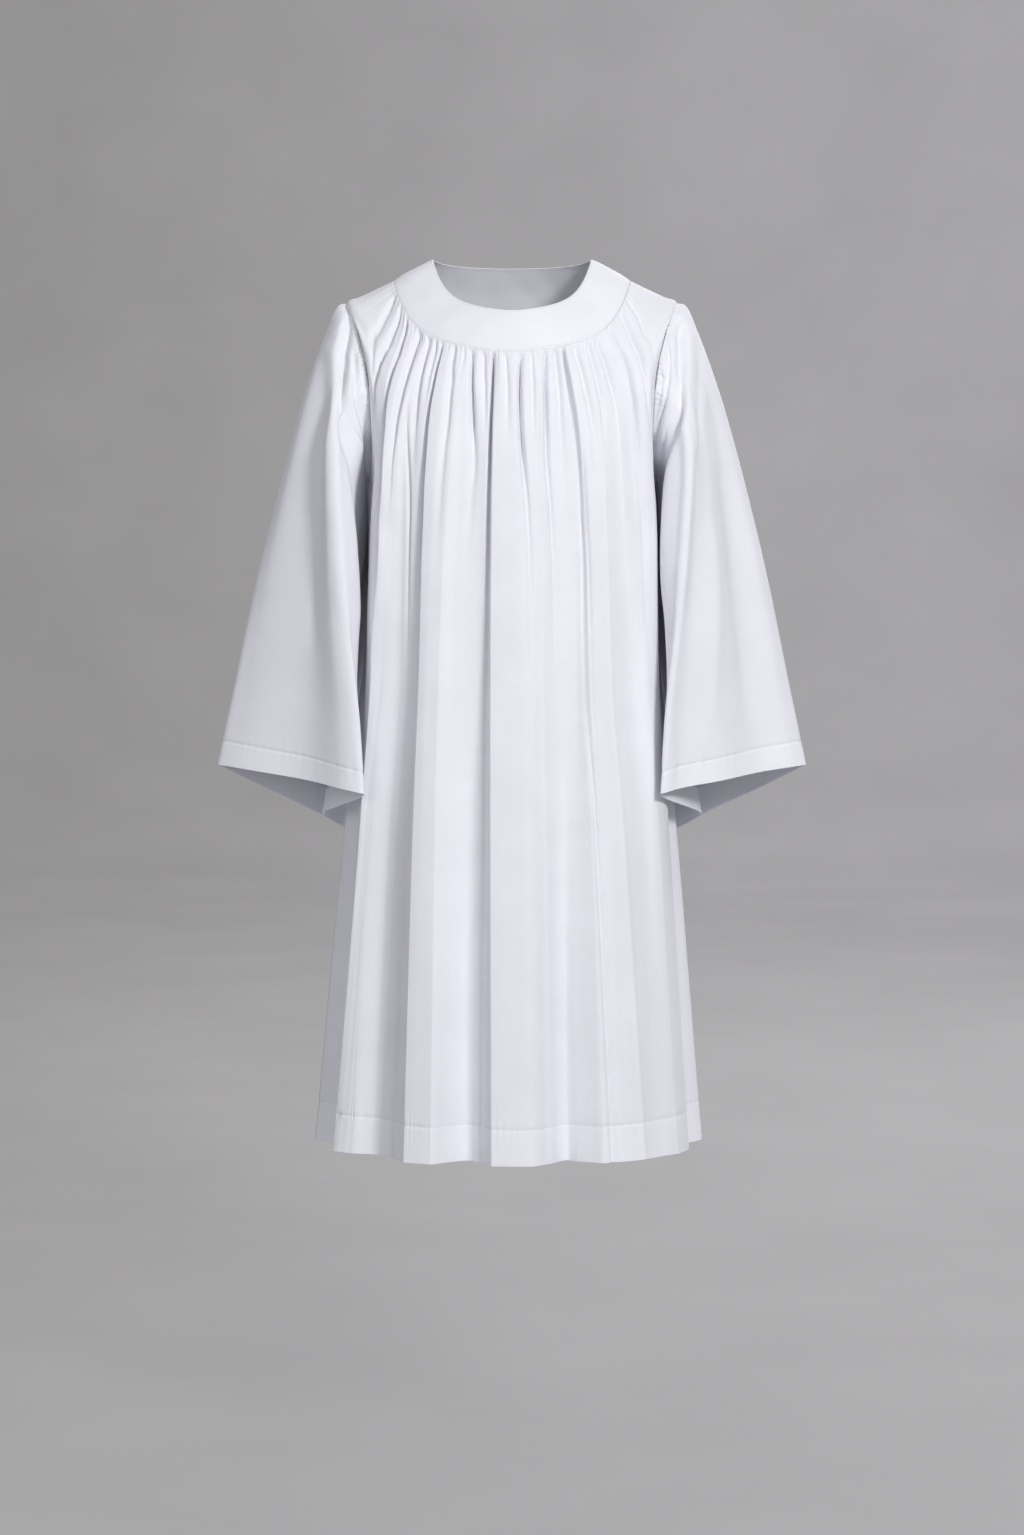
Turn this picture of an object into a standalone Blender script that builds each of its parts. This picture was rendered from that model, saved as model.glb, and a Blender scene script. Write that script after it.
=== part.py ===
"""Choir surplice: a white, full body gathered onto a flat round yoke, with wide bell sleeves.

Metres, +Z up. The origin lies midway between the shoulders, +X is the wearer's left and the front
faces -Y. Every piece is a thin shell of cloth that hangs round an empty hollow.
"""
import math

import bmesh
import bpy
import numpy as np

# Cloth
WALL = 0.0018
YOKE_WALL = 0.0022
SEAM_GAP = 0.0003
HEM_TURN = 0.0008  # how much thicker a turned-up hem is, on its inner side
BODY_HEM_DEPTH = 0.048
SLEEVE_HEM_DEPTH = 0.037

# Gathers
PANEL_GATHERS = 56
SLEEVE_GATHERS = 16
GATHER_HEIGHT = 0.0026
GATHER_END = 0.16  # the fall by which the yoke gathers have spread out
SLEEVE_GATHER_END = 0.22

# Falls are shares of the way from the yoke seam, 0, to the hem, 1
SHOULDER_FALL = 0.06
UNDERARM_FALL = 0.27
FREE_FALL = 0.50  # below this the side seam swings with the folds
BODY_LENGTH = 1.09
HEM_FALL = 1 - BODY_HEM_DEPTH / BODY_LENGTH
HEM_EDGE_FALL = 0.005
SLEEVE_LENGTH = 0.62

# The yoke from the neck edge to the gathered seam
YOKE_COLUMNS = ("share", "side_x", "side_z", "front_y", "front_z", "back_y", "back_z")
YOKE_SECTIONS = (
    (0.0, 0.0970, 0.0090, 0.088, -0.0584, 0.065, 0.0020),
    (0.5, 0.1215, 0.0005, 0.105, -0.0835, 0.089, -0.0310),
    (1.0, 0.1453, -0.0126, 0.118, -0.1090, 0.108, -0.0700),
)

# The body from the yoke seam to the hem: shoulder tip, three points down the armhole, underarm, waist
BODY_COLUMNS = (
    "fall", "side_x", "side_y", "side_z", "front_y", "front_z", "back_y", "back_z",
)
BODY_SECTIONS = (
    (0.000, 0.1453, 0.000, -0.0126, 0.118, -0.109, 0.108, -0.070),
    (0.060, 0.2025, 0.000, -0.0400, 0.136, -0.163, 0.124, -0.132),
    (0.100, 0.1860, 0.043, -0.0830, 0.143, -0.205, 0.130, -0.180),
    (0.165, 0.1725, 0.065, -0.1500, 0.149, -0.268, 0.134, -0.246),
    (0.225, 0.1705, 0.045, -0.2200, 0.152, -0.325, 0.136, -0.306),
    (0.270, 0.1750, 0.000, -0.2650, 0.154, -0.366, 0.138, -0.350),
    (0.420, 0.1795, 0.000, -0.4350, 0.161, -0.510, 0.148, -0.500),
    (0.550, 0.1960, 0.000, -0.5850, 0.166, -0.635, 0.158, -0.628),
    (1.000, 0.2380, 0.000, -1.0900, 0.185, -1.084, 0.185, -1.086),
)

# Hanging folds in degrees round the body, 0 at the centre front, 90 at the wearer's left side, with
# each one's angle at the yoke and at the hem, and its height at the falls in FOLD_FALLS
FOLD_FALLS = (0.0, 0.27, 0.55, 1.0)
FOLD_COLUMNS = ("at_yoke", "at_hem", "start", "chest", "waist", "hem")
BODY_FOLDS = (
    (-164.0, -166.0, 0, -0.006, -0.009, -0.012),
    (-151.0, -152.0, 0, 0.008, 0.011, 0.014),
    (-138.0, -138.0, 0, -0.004, -0.008, -0.012),
    (-119.0, -122.0, 0, 0.015, 0.011, 0.014),
    (-105.0, -108.0, 0, -0.004, -0.008, -0.014),
    (-95.0, -97.0, 0, 0.000, 0.012, 0.025),
    (-77.0, -78.0, 0, -0.004, -0.012, -0.026),
    (-64.0, -60.0, 0, 0.024, 0.012, 0.010),
    (-45.0, -42.0, 0, -0.004, -0.008, -0.010),
    (-31.0, -29.0, 0, 0.009, 0.015, 0.023),
    (-16.0, -13.5, 0, -0.008, -0.013, -0.019),
    (-4.0, -0.5, 0, 0.009, 0.015, 0.025),
    (16.0, 18.5, 0, -0.006, -0.011, -0.018),
    (32.0, 31.0, 0, 0.008, 0.013, 0.022),
    (46.0, 45.0, 0, -0.005, -0.006, -0.006),
    (64.0, 60.0, 0, 0.024, 0.012, 0.010),
    (77.0, 78.0, 0, -0.004, -0.012, -0.024),
    (95.0, 98.0, 0, 0.000, 0.008, 0.014),
    (105.0, 110.0, 0, -0.004, -0.006, -0.012),
    (119.0, 124.0, 0, 0.015, 0.011, 0.013),
    (136.0, 138.0, 0, -0.005, -0.008, -0.012),
    (150.0, 151.0, 0, 0.008, 0.012, 0.016),
    (165.0, 165.0, 0, -0.005, -0.008, -0.012),
    (180.0, 180.0, 0, 0.009, 0.014, 0.019),
)

# A sleeve from the armhole to the cuff, for the wearer's left. Each section is a closed curve through
# the overarm, the front fold edge, the underarm and the back fold edge
SLEEVE_COLUMNS = (
    "share", "over_x", "over_z", "fore_x", "fore_y", "fore_z",
    "under_x", "under_z", "aft_x", "aft_y", "aft_z", "over_round",
)
SLEEVE_SECTIONS = (
    (0.00, 0.2025, -0.0400, 0.1725, -0.065, -0.150, 0.1740, -0.265, 0.1725, 0.065, -0.150, 1.00),
    (0.03, 0.2120, -0.0460, 0.1850, -0.071, -0.158, 0.1800, -0.266, 0.1850, 0.071, -0.158, 1.00),
    (0.08, 0.2280, -0.0800, 0.2040, -0.082, -0.178, 0.1805, -0.272, 0.2000, 0.080, -0.176, 1.00),
    (0.20, 0.2540, -0.1600, 0.2135, -0.100, -0.235, 0.1815, -0.305, 0.1860, 0.098, -0.236, 0.90),
    (0.40, 0.2865, -0.2800, 0.2085, -0.112, -0.335, 0.1870, -0.380, 0.1800, 0.112, -0.345, 0.75),
    (0.60, 0.3160, -0.4000, 0.1990, -0.120, -0.440, 0.1970, -0.472, 0.1800, 0.118, -0.462, 0.60),
    (0.80, 0.3405, -0.5150, 0.1870, -0.124, -0.550, 0.2190, -0.576, 0.1860, 0.120, -0.588, 0.40),
    (1.00, 0.3630, -0.6175, 0.1821, -0.126, -0.642, 0.2360, -0.678, 0.1920, 0.122, -0.716, 0.25),
)
FORE_ROUND = 0.55  # a lower value folds the front and back edges more sharply
UNDER_ROUND = 0.8
ARMHOLE_BLEND = 0.15  # the share of the sleeve over which it leaves the armhole's own line
ARMHOLE_STAND = 0.003  # how far the sleeve stands straight out before it spreads

# Folds round a sleeve, each at its place in turns from the overarm through the front, with its height
# at the shares of the sleeve in SLEEVE_FOLD_SHARES
SLEEVE_FOLD_SHARES = (0.0, 0.2, 0.5, 1.0)
SLEEVE_FOLD_COLUMNS = ("turn", "armhole", "upper", "middle", "cuff")
LEFT_SLEEVE_FOLDS = (
    (0.040, 0, 0.003, 0.004, 0.003),
    (0.090, 0, -0.003, -0.006, -0.005),
    (0.145, 0, -0.004, 0.003, 0.004),
    (0.195, 0, 0.003, -0.002, -0.003),
    (0.235, 0, 0.004, 0.003, 0.002),
    (0.285, 0, -0.009, -0.006, -0.003),
    (0.345, 0, 0.010, 0.005, 0.000),
    (0.420, 0, -0.003, -0.002, 0.000),
    (0.500, 0, 0.000, -0.002, -0.002),
    (0.580, 0, 0.000, 0.000, 0.000),
    (0.690, 0, -0.005, -0.005, -0.004),
    (0.765, 0, 0.004, 0.004, 0.004),
    (0.840, 0, -0.006, -0.007, -0.006),
    (0.920, 0, 0.005, 0.006, 0.005),
)
RIGHT_SLEEVE_FOLDS = (
    (0.050, 0, 0.003, 0.004, 0.004),
    (0.140, 0, -0.006, -0.009, -0.006),
    (0.205, 0, 0.005, 0.006, 0.004),
    (0.285, 0, -0.009, -0.006, -0.003),
    (0.345, 0, 0.010, 0.005, 0.000),
    (0.420, 0, -0.003, -0.002, 0.000),
    (0.500, 0, 0.000, -0.002, -0.002),
    (0.580, 0, 0.000, 0.000, 0.000),
    (0.690, 0, -0.005, -0.006, -0.005),
    (0.775, 0, 0.005, 0.005, 0.004),
    (0.860, 0, -0.006, -0.007, -0.006),
    (0.950, 0, 0.004, 0.004, 0.004),
)

# Where the cloth is cut into rows
GATHER_ROWS = (0.0, 0.010, 0.030, 0.060, 0.095, 0.130)
PLAIN_ROWS = (0.170, 0.210, 0.240, 0.270, 0.380, 0.520, 0.680, 0.840)
SLEEVE_ROWS = (0.03, 0.08, 0.14, 0.24, 0.40, 0.60, 0.80)
YOKE_ROWS = (0.0, 0.33, 0.67, 1.0)
YOKE_STEPS = 36
SLEEVE_PLAIN_STEPS = 12
GATHERED_TURN = 0.30  # the cap's gathers run this far each way from the overarm

CLOTH_COLOUR = (0.90, 0.90, 0.94, 1.0)
YOKE_COLOUR = (0.92, 0.92, 0.95, 1.0)
CLOTH_ROUGHNESS = 0.85
SMOOTH_ANGLE = math.radians(50)


def clear_scene():
    for item in list(bpy.data.objects):
        bpy.data.objects.remove(item, do_unlink=True)


def slopes(knots, values):
    """Slopes of a curve through the values that never overshoots them."""
    steps = np.diff(knots)[:, None]
    rates = np.diff(values, axis=0) / steps
    result = np.zeros_like(values)
    before, after = rates[:-1], rates[1:]
    same_way = before * after > 0
    total = np.where(same_way, before + after, 1.0)
    result[1:-1] = np.where(same_way, 2 * before * after / total, 0.0)
    result[0], result[-1] = rates[0], rates[-1]
    return result


def sample(sections, columns, places):
    """The table's columns, read at each place along its first column."""
    table = np.array(sections)
    knots, values = table[:, 0], table[:, 1:]
    tangents = slopes(knots, values)
    places = np.clip(np.asarray(places, float), knots[0], knots[-1])
    low = np.clip(np.searchsorted(knots, places, side="right") - 1, 0, len(knots) - 2)
    width = (knots[low + 1] - knots[low])[:, None]
    part = (places - knots[low])[:, None] / width
    rise = part * part * (3 - 2 * part)
    curve = values[low] * (1 - rise) + values[low + 1] * rise
    curve += width * part * (1 - part) * ((1 - part) * tangents[low] - part * tangents[low + 1])
    return {name: curve[:, i:i + 1] for i, name in enumerate(columns[1:])}


def drape(swing):
    """How far a section has dropped from its side towards its centre line, 0 to 1."""
    return swing * swing * (swing + (1 - swing * swing) * (3 - 2 * swing))


def yoke_surface(half, angles, shares):
    row = sample(YOKE_SECTIONS, YOKE_COLUMNS, shares)
    swing = np.cos(angles)[None, :]
    x = row["side_x"] * np.sin(angles)[None, :]
    y = half.sign * (row[half.y] * swing + SEAM_GAP / 2)
    z = row["side_z"] + (row[half.z] - row["side_z"]) * drape(swing)
    return np.stack([x, y + 0 * x, z + 0 * x], axis=-1)


def body_surface(half, angles, falls):
    row = sample(BODY_SECTIONS, BODY_COLUMNS, falls)
    swing = np.cos(angles)[None, :]
    x = row["side_x"] * np.sin(angles)[None, :]
    y = half.sign * (row["side_y"] + (row[half.y] - row["side_y"]) * swing + SEAM_GAP / 2)
    z = row["side_z"] + (row[half.z] - row["side_z"]) * drape(swing)
    return np.stack([x, y + 0 * x, z + 0 * x], axis=-1)


class Half:
    """The front or the back of the garment."""

    def __init__(self, name, sign):
        self.name, self.sign = name, sign
        self.y, self.z = name + "_y", name + "_z"

    def round_body(self, angles):
        """The panel's own angles, 0 at its centre, as degrees round the whole body."""
        degrees = np.degrees(angles)
        return degrees if self.sign < 0 else np.where(degrees >= 0, 180 - degrees, -180 - degrees)


FRONT = Half("front", -1)
BACK = Half("back", 1)


def unit(vectors):
    return vectors / np.maximum(np.linalg.norm(vectors, axis=-1, keepdims=True), 1e-12)


def outward(surface, half, angles, places):
    """Normals of a panel's smooth surface, away from the wearer."""
    step = 1e-4
    edge = math.pi / 2 - step
    inside = np.clip(angles, -edge, edge)
    across = surface(half, inside + step, places) - surface(half, inside - step, places)
    nearer = np.clip(np.asarray(places, float), step, 1 - step)
    down = surface(half, inside, nearer + step) - surface(half, inside, nearer - step)
    return unit(half.sign * np.cross(across, down))


def seam_outward(half, angles):
    """The direction that the yoke and the body share where they are sewn together."""
    yoke = outward(yoke_surface, half, angles, [1.0])[0]
    body = outward(body_surface, half, angles, [0.0])[0]
    return unit(yoke + body)


def square_to_armhole(normal, angles, falls):
    """Turns the cloth's thickness straight sideways along the armhole edge, clear of the sleeve."""
    along = (falls >= SHOULDER_FALL) & (falls <= UNDERARM_FALL)
    weight = along[:, None, None] * (np.abs(angles) / (math.pi / 2))[None, :, None] ** 16
    sideways = np.stack([np.sign(angles), 0 * angles, 0 * angles], axis=-1)[None]
    return unit(normal * (1 - weight) + sideways * weight)


def fold_height(degrees, fall):
    """How far the hanging folds carry the cloth out, at one fall."""
    table = np.array(BODY_FOLDS, float)
    rest = (1 - fall) ** 2
    crests = table[:, 0] * rest + table[:, 1] * (1 - rest)
    crests = np.concatenate([[crests[-1] - 360], crests, [crests[0] + 360]])
    heights = np.array([np.interp(fall, FOLD_FALLS, row) for row in table[:, 2:]])
    heights = np.concatenate([heights[-1:], heights, heights[:1]])
    low = np.clip(np.searchsorted(crests, degrees, side="right") - 1, 0, len(crests) - 2)
    part = (degrees - crests[low]) / (crests[low + 1] - crests[low])
    rise = part * part * (3 - 2 * part)
    return heights[low] * (1 - rise) + heights[low + 1] * rise


def panel_displacement(half, angles, falls):
    """Folds and gathers together, as a distance along the panel's outward direction."""
    rows = []
    edge = np.abs(angles) / (math.pi / 2)
    count = np.arange(len(angles))
    uneven = 0.75 + 0.25 * np.sin(2.1 * count) * np.sin(0.37 * count + half.sign)
    wave = np.where(count % 2, 1.0, -1.0) * uneven * (1 - edge ** 12)
    for fall in falls:
        held = 1 - np.clip((fall - UNDERARM_FALL) / (FREE_FALL - UNDERARM_FALL), 0, 1)
        folds = fold_height(half.round_body(angles), fall) * (1 - held * edge ** 6)
        rise = min(1.0, fall / 0.010)
        fade = max(0.0, 1 - fall / GATHER_END) ** 1.5
        rows.append(folds + GATHER_HEIGHT / 2 * rise * fade * wave)
    return np.array(rows)


def panel_angles():
    """Columns across a panel, two to each gather, set a little unevenly."""
    share = np.linspace(-1, 1, 2 * PANEL_GATHERS + 1)
    uneven = 0.35 / PANEL_GATHERS * np.sin(9.0 * share) * (1 - share ** 2)
    return (share + uneven) * math.pi / 2


def panel_rows(half, angles, falls):
    """The inner and outer points of a body panel, a row of points for each fall."""
    places = np.array(falls)
    places[places == 0] = SEAM_GAP / BODY_LENGTH
    base = body_surface(half, angles, places)
    normal = outward(body_surface, half, angles, places)
    if falls[0] == 0:
        normal[0] = seam_outward(half, angles)
    normal = square_to_armhole(normal, angles, places)
    height = panel_displacement(half, angles, places)[..., None]
    turned = np.where(places > HEM_FALL, HEM_TURN, 0.0)[:, None, None]
    return base + normal * (height - turned), base + normal * (height + WALL)


def body_panel(half):
    angles = panel_angles()
    gathered = panel_rows(half, angles, GATHER_ROWS)
    plain_falls = PLAIN_ROWS + (HEM_FALL, HEM_FALL + HEM_EDGE_FALL, 1.0)
    plain = panel_rows(half, angles[::2], plain_falls)
    inner = list(gathered[0]) + list(plain[0])
    outer = list(gathered[1]) + list(plain[1])
    return shell("body_" + half.name, inner, outer, False)


def yoke_panel(half):
    angles = np.linspace(-math.pi / 2, math.pi / 2, YOKE_STEPS + 1)
    base = yoke_surface(half, angles, YOKE_ROWS)
    normal = outward(yoke_surface, half, angles, YOKE_ROWS)
    normal[-1] = seam_outward(half, angles)
    return shell("yoke_" + half.name, list(base), list(base + normal * YOKE_WALL), False)


def armhole_line(turns):
    """Points of the armhole edge of the wearer's left, in turns from the shoulder tip through the front."""
    falls = [f for f in GATHER_ROWS + PLAIN_ROWS if SHOULDER_FALL <= f <= UNDERARM_FALL]
    side = np.array([math.pi / 2])
    front = body_surface(FRONT, side, falls)[:, 0]
    back = body_surface(BACK, side, falls)[:, 0]
    front[0, 1] = front[-1, 1] = back[0, 1] = back[-1, 1] = 0.0
    loop = np.concatenate([front, back[-2::-1]])
    share = np.concatenate([np.linspace(0, 0.5, len(falls)), np.linspace(0.5, 1, len(falls))[1:]])
    return np.stack([np.interp(turns, share, loop[:, i]) for i in range(3)], axis=-1)


def sleeve_curves(turns, shares):
    """Closed curves through each section's four named points."""
    row = sample(SLEEVE_SECTIONS, SLEEVE_COLUMNS, shares)
    flat = 0 * row["over_x"]
    over = np.hstack([row["over_x"], flat, row["over_z"]])
    fore = np.hstack([row["fore_x"], row["fore_y"], row["fore_z"]])
    under = np.hstack([row["under_x"], flat, row["under_z"]])
    aft = np.hstack([row["aft_x"], row["aft_y"], row["aft_z"]])
    points = [over, fore, under, aft]
    rounds = [row["over_round"], FORE_ROUND, UNDER_ROUND, FORE_ROUND]
    tangents = [rounds[i] * (points[(i + 1) % 4] - points[i - 1]) / 2 for i in range(4)]
    quarter = (np.floor(turns * 4).astype(int)) % 4
    part = (turns * 4) % 1.0
    curve = np.zeros((len(shares), len(turns), 3))
    for i in range(4):
        here = np.nonzero(quarter == i)[0]
        p = part[here][None, :, None]
        rise = p * p * (3 - 2 * p)
        start, end = points[i][:, None], points[(i + 1) % 4][:, None]
        go, come = tangents[i][:, None], tangents[(i + 1) % 4][:, None]
        curve[:, here] = start * (1 - rise) + end * rise + p * (1 - p) * ((1 - p) * go - p * come)
    return curve


def sleeve_surface(turns, shares):
    """The sleeve's smooth surface, which starts exactly on the armhole edge."""
    shares = np.asarray(shares, float)
    curve = sleeve_curves(turns, shares)
    start = armhole_line(turns % 1.0) - sleeve_curves(turns, [0.0])[0]
    blend = np.clip(1 - shares / ARMHOLE_BLEND, 0, 1)[:, None, None] ** 2
    return curve + start[None] * blend


def sleeve_outward(turns, shares):
    step = 1e-3
    around = sleeve_surface(turns + step, shares) - sleeve_surface(turns - step, shares)
    nearer = np.clip(np.asarray(shares, float), 0, 1 - step)
    down = sleeve_surface(turns, nearer + step) - sleeve_surface(turns, nearer)
    return unit(np.cross(around, down))


def sleeve_turns():
    """Columns round a sleeve: close together over the gathered cap, wider under the arm."""
    cap = np.linspace(-GATHERED_TURN, GATHERED_TURN, 2 * SLEEVE_GATHERS + 1)
    below = np.linspace(GATHERED_TURN, 1 - GATHERED_TURN, SLEEVE_PLAIN_STEPS + 1)[1:-1]
    return np.concatenate([cap, below])


def sleeve_displacement(turns, shares, folds):
    table = np.array(folds, float)
    spots = np.concatenate([table[-1:, 0] - 1, table[:, 0], table[:1, 0] + 1])
    place = turns % 1.0
    low = np.clip(np.searchsorted(spots, place, side="right") - 1, 0, len(spots) - 2)
    part = (place - spots[low]) / (spots[low + 1] - spots[low])
    slope = part * part * (3 - 2 * part)
    count = np.arange(len(turns))
    cap = np.abs(turns) < GATHERED_TURN
    wave = np.where(cap, np.where(count % 2, 1.0, -1.0) * (0.8 + 0.2 * np.sin(1.7 * count)), 0.0)
    rows = []
    for share in shares:
        rise = min(1.0, share / 0.03)
        fade = max(0.0, 1 - share / SLEEVE_GATHER_END)
        heights = np.array([np.interp(share, SLEEVE_FOLD_SHARES, row) for row in table[:, 1:]])
        heights = np.concatenate([heights[-1:], heights, heights[:1]])
        fold = heights[low] * (1 - slope) + heights[low + 1] * slope
        rows.append(fold + GATHER_HEIGHT / 2 * rise * fade * wave)
    return np.array(rows)


def sleeve_start(turns):
    """The sleeve's first two rows, which stand straight out of the armhole just inside its edge."""
    step = 1e-3
    line = armhole_line(turns % 1.0)
    around = armhole_line((turns + step) % 1.0) - armhole_line((turns - step) % 1.0)
    normal = unit(np.cross(around, [1.0, 0.0, 0.0]))
    outer, inner = [], []
    for reach in (SEAM_GAP, ARMHOLE_STAND):
        row = line + np.array([reach, 0.0, 0.0])
        outer.append(row - normal * SEAM_GAP)
        inner.append(row - normal * (SEAM_GAP + WALL))
    return outer, inner


def sleeve(name, side, folds):
    turns = sleeve_turns()
    cuff_share = 1 - SLEEVE_HEM_DEPTH / SLEEVE_LENGTH
    shares = np.array(SLEEVE_ROWS + (cuff_share, cuff_share + HEM_EDGE_FALL, 1.0))
    base = sleeve_surface(turns, shares)
    normal = sleeve_outward(turns, shares)
    height = sleeve_displacement(turns, shares, folds)[..., None]
    turned = np.where(shares > cuff_share, HEM_TURN, 0.0)[:, None, None]
    outer, inner = sleeve_start(turns)
    outer += list(base + normal * height)
    inner += list(base + normal * (height - WALL - turned))
    mirror = np.array([side, 1.0, 1.0])
    return shell(name, [row * mirror for row in inner], [row * mirror for row in outer], True)


def band(upper, lower, closed):
    """Triangles between two rows of point numbers. The lower row may have half as many steps."""
    if closed:
        upper, lower = upper + upper[:1], lower + lower[:1]
    triangles = []
    if len(upper) == len(lower):
        for i in range(len(upper) - 1):
            triangles.append((upper[i], lower[i], upper[i + 1]))
            triangles.append((upper[i + 1], lower[i], lower[i + 1]))
        return triangles
    for i in range(len(lower) - 1):
        left, middle, right = upper[2 * i:2 * i + 3]
        triangles.append((left, lower[i], middle))
        triangles.append((middle, lower[i], lower[i + 1]))
        triangles.append((middle, lower[i + 1], right))
    return triangles


def shell(name, inner, outer, closed):
    """One closed body of cloth between its inner and its outer rows of points."""
    mesh = bmesh.new()
    inside = [[mesh.verts.new(p) for p in row] for row in inner]
    outside = [[mesh.verts.new(p) for p in row] for row in outer]
    faces = []
    for i in range(len(inside) - 1):
        faces += band(outside[i], outside[i + 1], closed)
        faces += [face[::-1] for face in band(inside[i], inside[i + 1], closed)]
    faces += band(inside[0], outside[0], closed)
    faces += band(outside[-1], inside[-1], closed)
    if not closed:
        left = [row[0] for row in outside], [row[0] for row in inside]
        right = [row[-1] for row in inside], [row[-1] for row in outside]
        faces += band(left[0], left[1], False)
        faces += band(right[0], right[1], False)
    for face in faces:
        mesh.faces.new(face)
    bmesh.ops.recalc_face_normals(mesh, faces=mesh.faces)
    if mesh.calc_volume(signed=True) < 0:
        bmesh.ops.reverse_faces(mesh, faces=mesh.faces)
    data = bpy.data.meshes.new(name)
    mesh.to_mesh(data)
    mesh.free()
    data.shade_smooth()
    data.set_sharp_from_angle(angle=SMOOTH_ANGLE)
    item = bpy.data.objects.new(name, data)
    bpy.context.scene.collection.objects.link(item)
    return item


def cloth_material(name, colour):
    material = bpy.data.materials.new(name)
    material.use_nodes = True
    surface = material.node_tree.nodes["Principled BSDF"]
    surface.inputs["Base Color"].default_value = colour
    surface.inputs["Roughness"].default_value = CLOTH_ROUGHNESS
    surface.inputs["Metallic"].default_value = 0.0
    return material


def main():
    clear_scene()
    for half in (FRONT, BACK):
        yoke = yoke_panel(half)
        yoke.data.materials.append(cloth_material(yoke.name + "_cloth", YOKE_COLOUR))
        body = body_panel(half)
        body.data.materials.append(cloth_material(body.name + "_cloth", CLOTH_COLOUR))
    for name, side, folds in (
        ("sleeve_left", 1.0, LEFT_SLEEVE_FOLDS),
        ("sleeve_right", -1.0, RIGHT_SLEEVE_FOLDS),
    ):
        item = sleeve(name, side, folds)
        item.data.materials.append(cloth_material(name + "_cloth", CLOTH_COLOUR))


main()
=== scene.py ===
import math

import bpy
import numpy as np
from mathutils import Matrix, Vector


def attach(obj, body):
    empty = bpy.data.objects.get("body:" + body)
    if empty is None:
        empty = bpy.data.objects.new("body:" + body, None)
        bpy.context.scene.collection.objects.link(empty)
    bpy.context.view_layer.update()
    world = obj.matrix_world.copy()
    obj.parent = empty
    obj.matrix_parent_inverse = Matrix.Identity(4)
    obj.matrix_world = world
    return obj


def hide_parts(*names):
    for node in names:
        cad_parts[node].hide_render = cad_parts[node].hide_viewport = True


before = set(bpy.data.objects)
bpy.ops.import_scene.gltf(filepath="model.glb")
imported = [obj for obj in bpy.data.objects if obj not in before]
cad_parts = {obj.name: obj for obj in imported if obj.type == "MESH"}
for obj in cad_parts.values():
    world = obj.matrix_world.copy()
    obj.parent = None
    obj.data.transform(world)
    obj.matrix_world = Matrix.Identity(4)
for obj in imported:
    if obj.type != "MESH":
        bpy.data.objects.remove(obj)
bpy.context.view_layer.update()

# Sizes of the cloth and of its cut pieces, in metres
WALL = 0.0018  # the solids' own wall: the cloth lies at its outer side
YOKE_WALL = 0.0022
CLOTH = 0.0005
HEM_CLOTH = 0.0010
YOKE_CLOTH = 0.0011
SEAM_GAP = 0.0003
BODY_LENGTH = 1.09
BODY_HEM = 0.048
SLEEVE_LENGTH = 0.62
CUFF_HEM = 0.037
YOKE_WIDTH = 0.47
YOKE_DEPTH = 0.058
BODY_CUT = (0.80, 1.02)
SLEEVE_CUT = (0.70, 0.66)

# Places down a piece, from 0 at its top to 1 at its hem
HEM_FALL = 1 - BODY_HEM / BODY_LENGTH
CUFF_SHARE = 1 - CUFF_HEM / SLEEVE_LENGTH
SHOULDER_FALL = 0.06
UNDERARM_FALL = 0.27
FREE_FALL = 0.50  # below it the side seams hang free of the sleeves

# Gathers: how many, their mesh steps, how far they run down and their heights
PANEL_GATHERS = 66
GATHER_STEPS = 6
CROWDING = 1.8  # how much closer the mesh's columns lie beside a sharp line
CROWD_DEGREES = 1.8  # and how near to it
GATHER_RUN = 0.030
FINE_GATHER = 0.0023
MERGED_GATHER = 0.0026
GROOVE_DEPTH = 0.0034  # a long gather's depth for each unit of its table
CAP_GATHERS = 50
CAP_STEPS = 4
CAP_RUN = 0.028
CAP_TURN = 0.30  # the cap's gathers end this far round the armhole, in turns from its top
FINE_CAP_GATHER = 0.0024
MERGED_CAP_GATHER = 0.0020
SLEEVE_PUFF = 0.0010
UNDERARM_FULLNESS = 0.013
UNDERARM_CORNERS = (0.33, 0.67)  # in turns round the sleeve
SEAM_DIP = 0.0005
STITCH_DIP = 0.0006
STITCH_DIP_WIDTH = 0.0022
PUCKER = 0.00042
YOKE_STITCH_INSET = 0.0022

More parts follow.
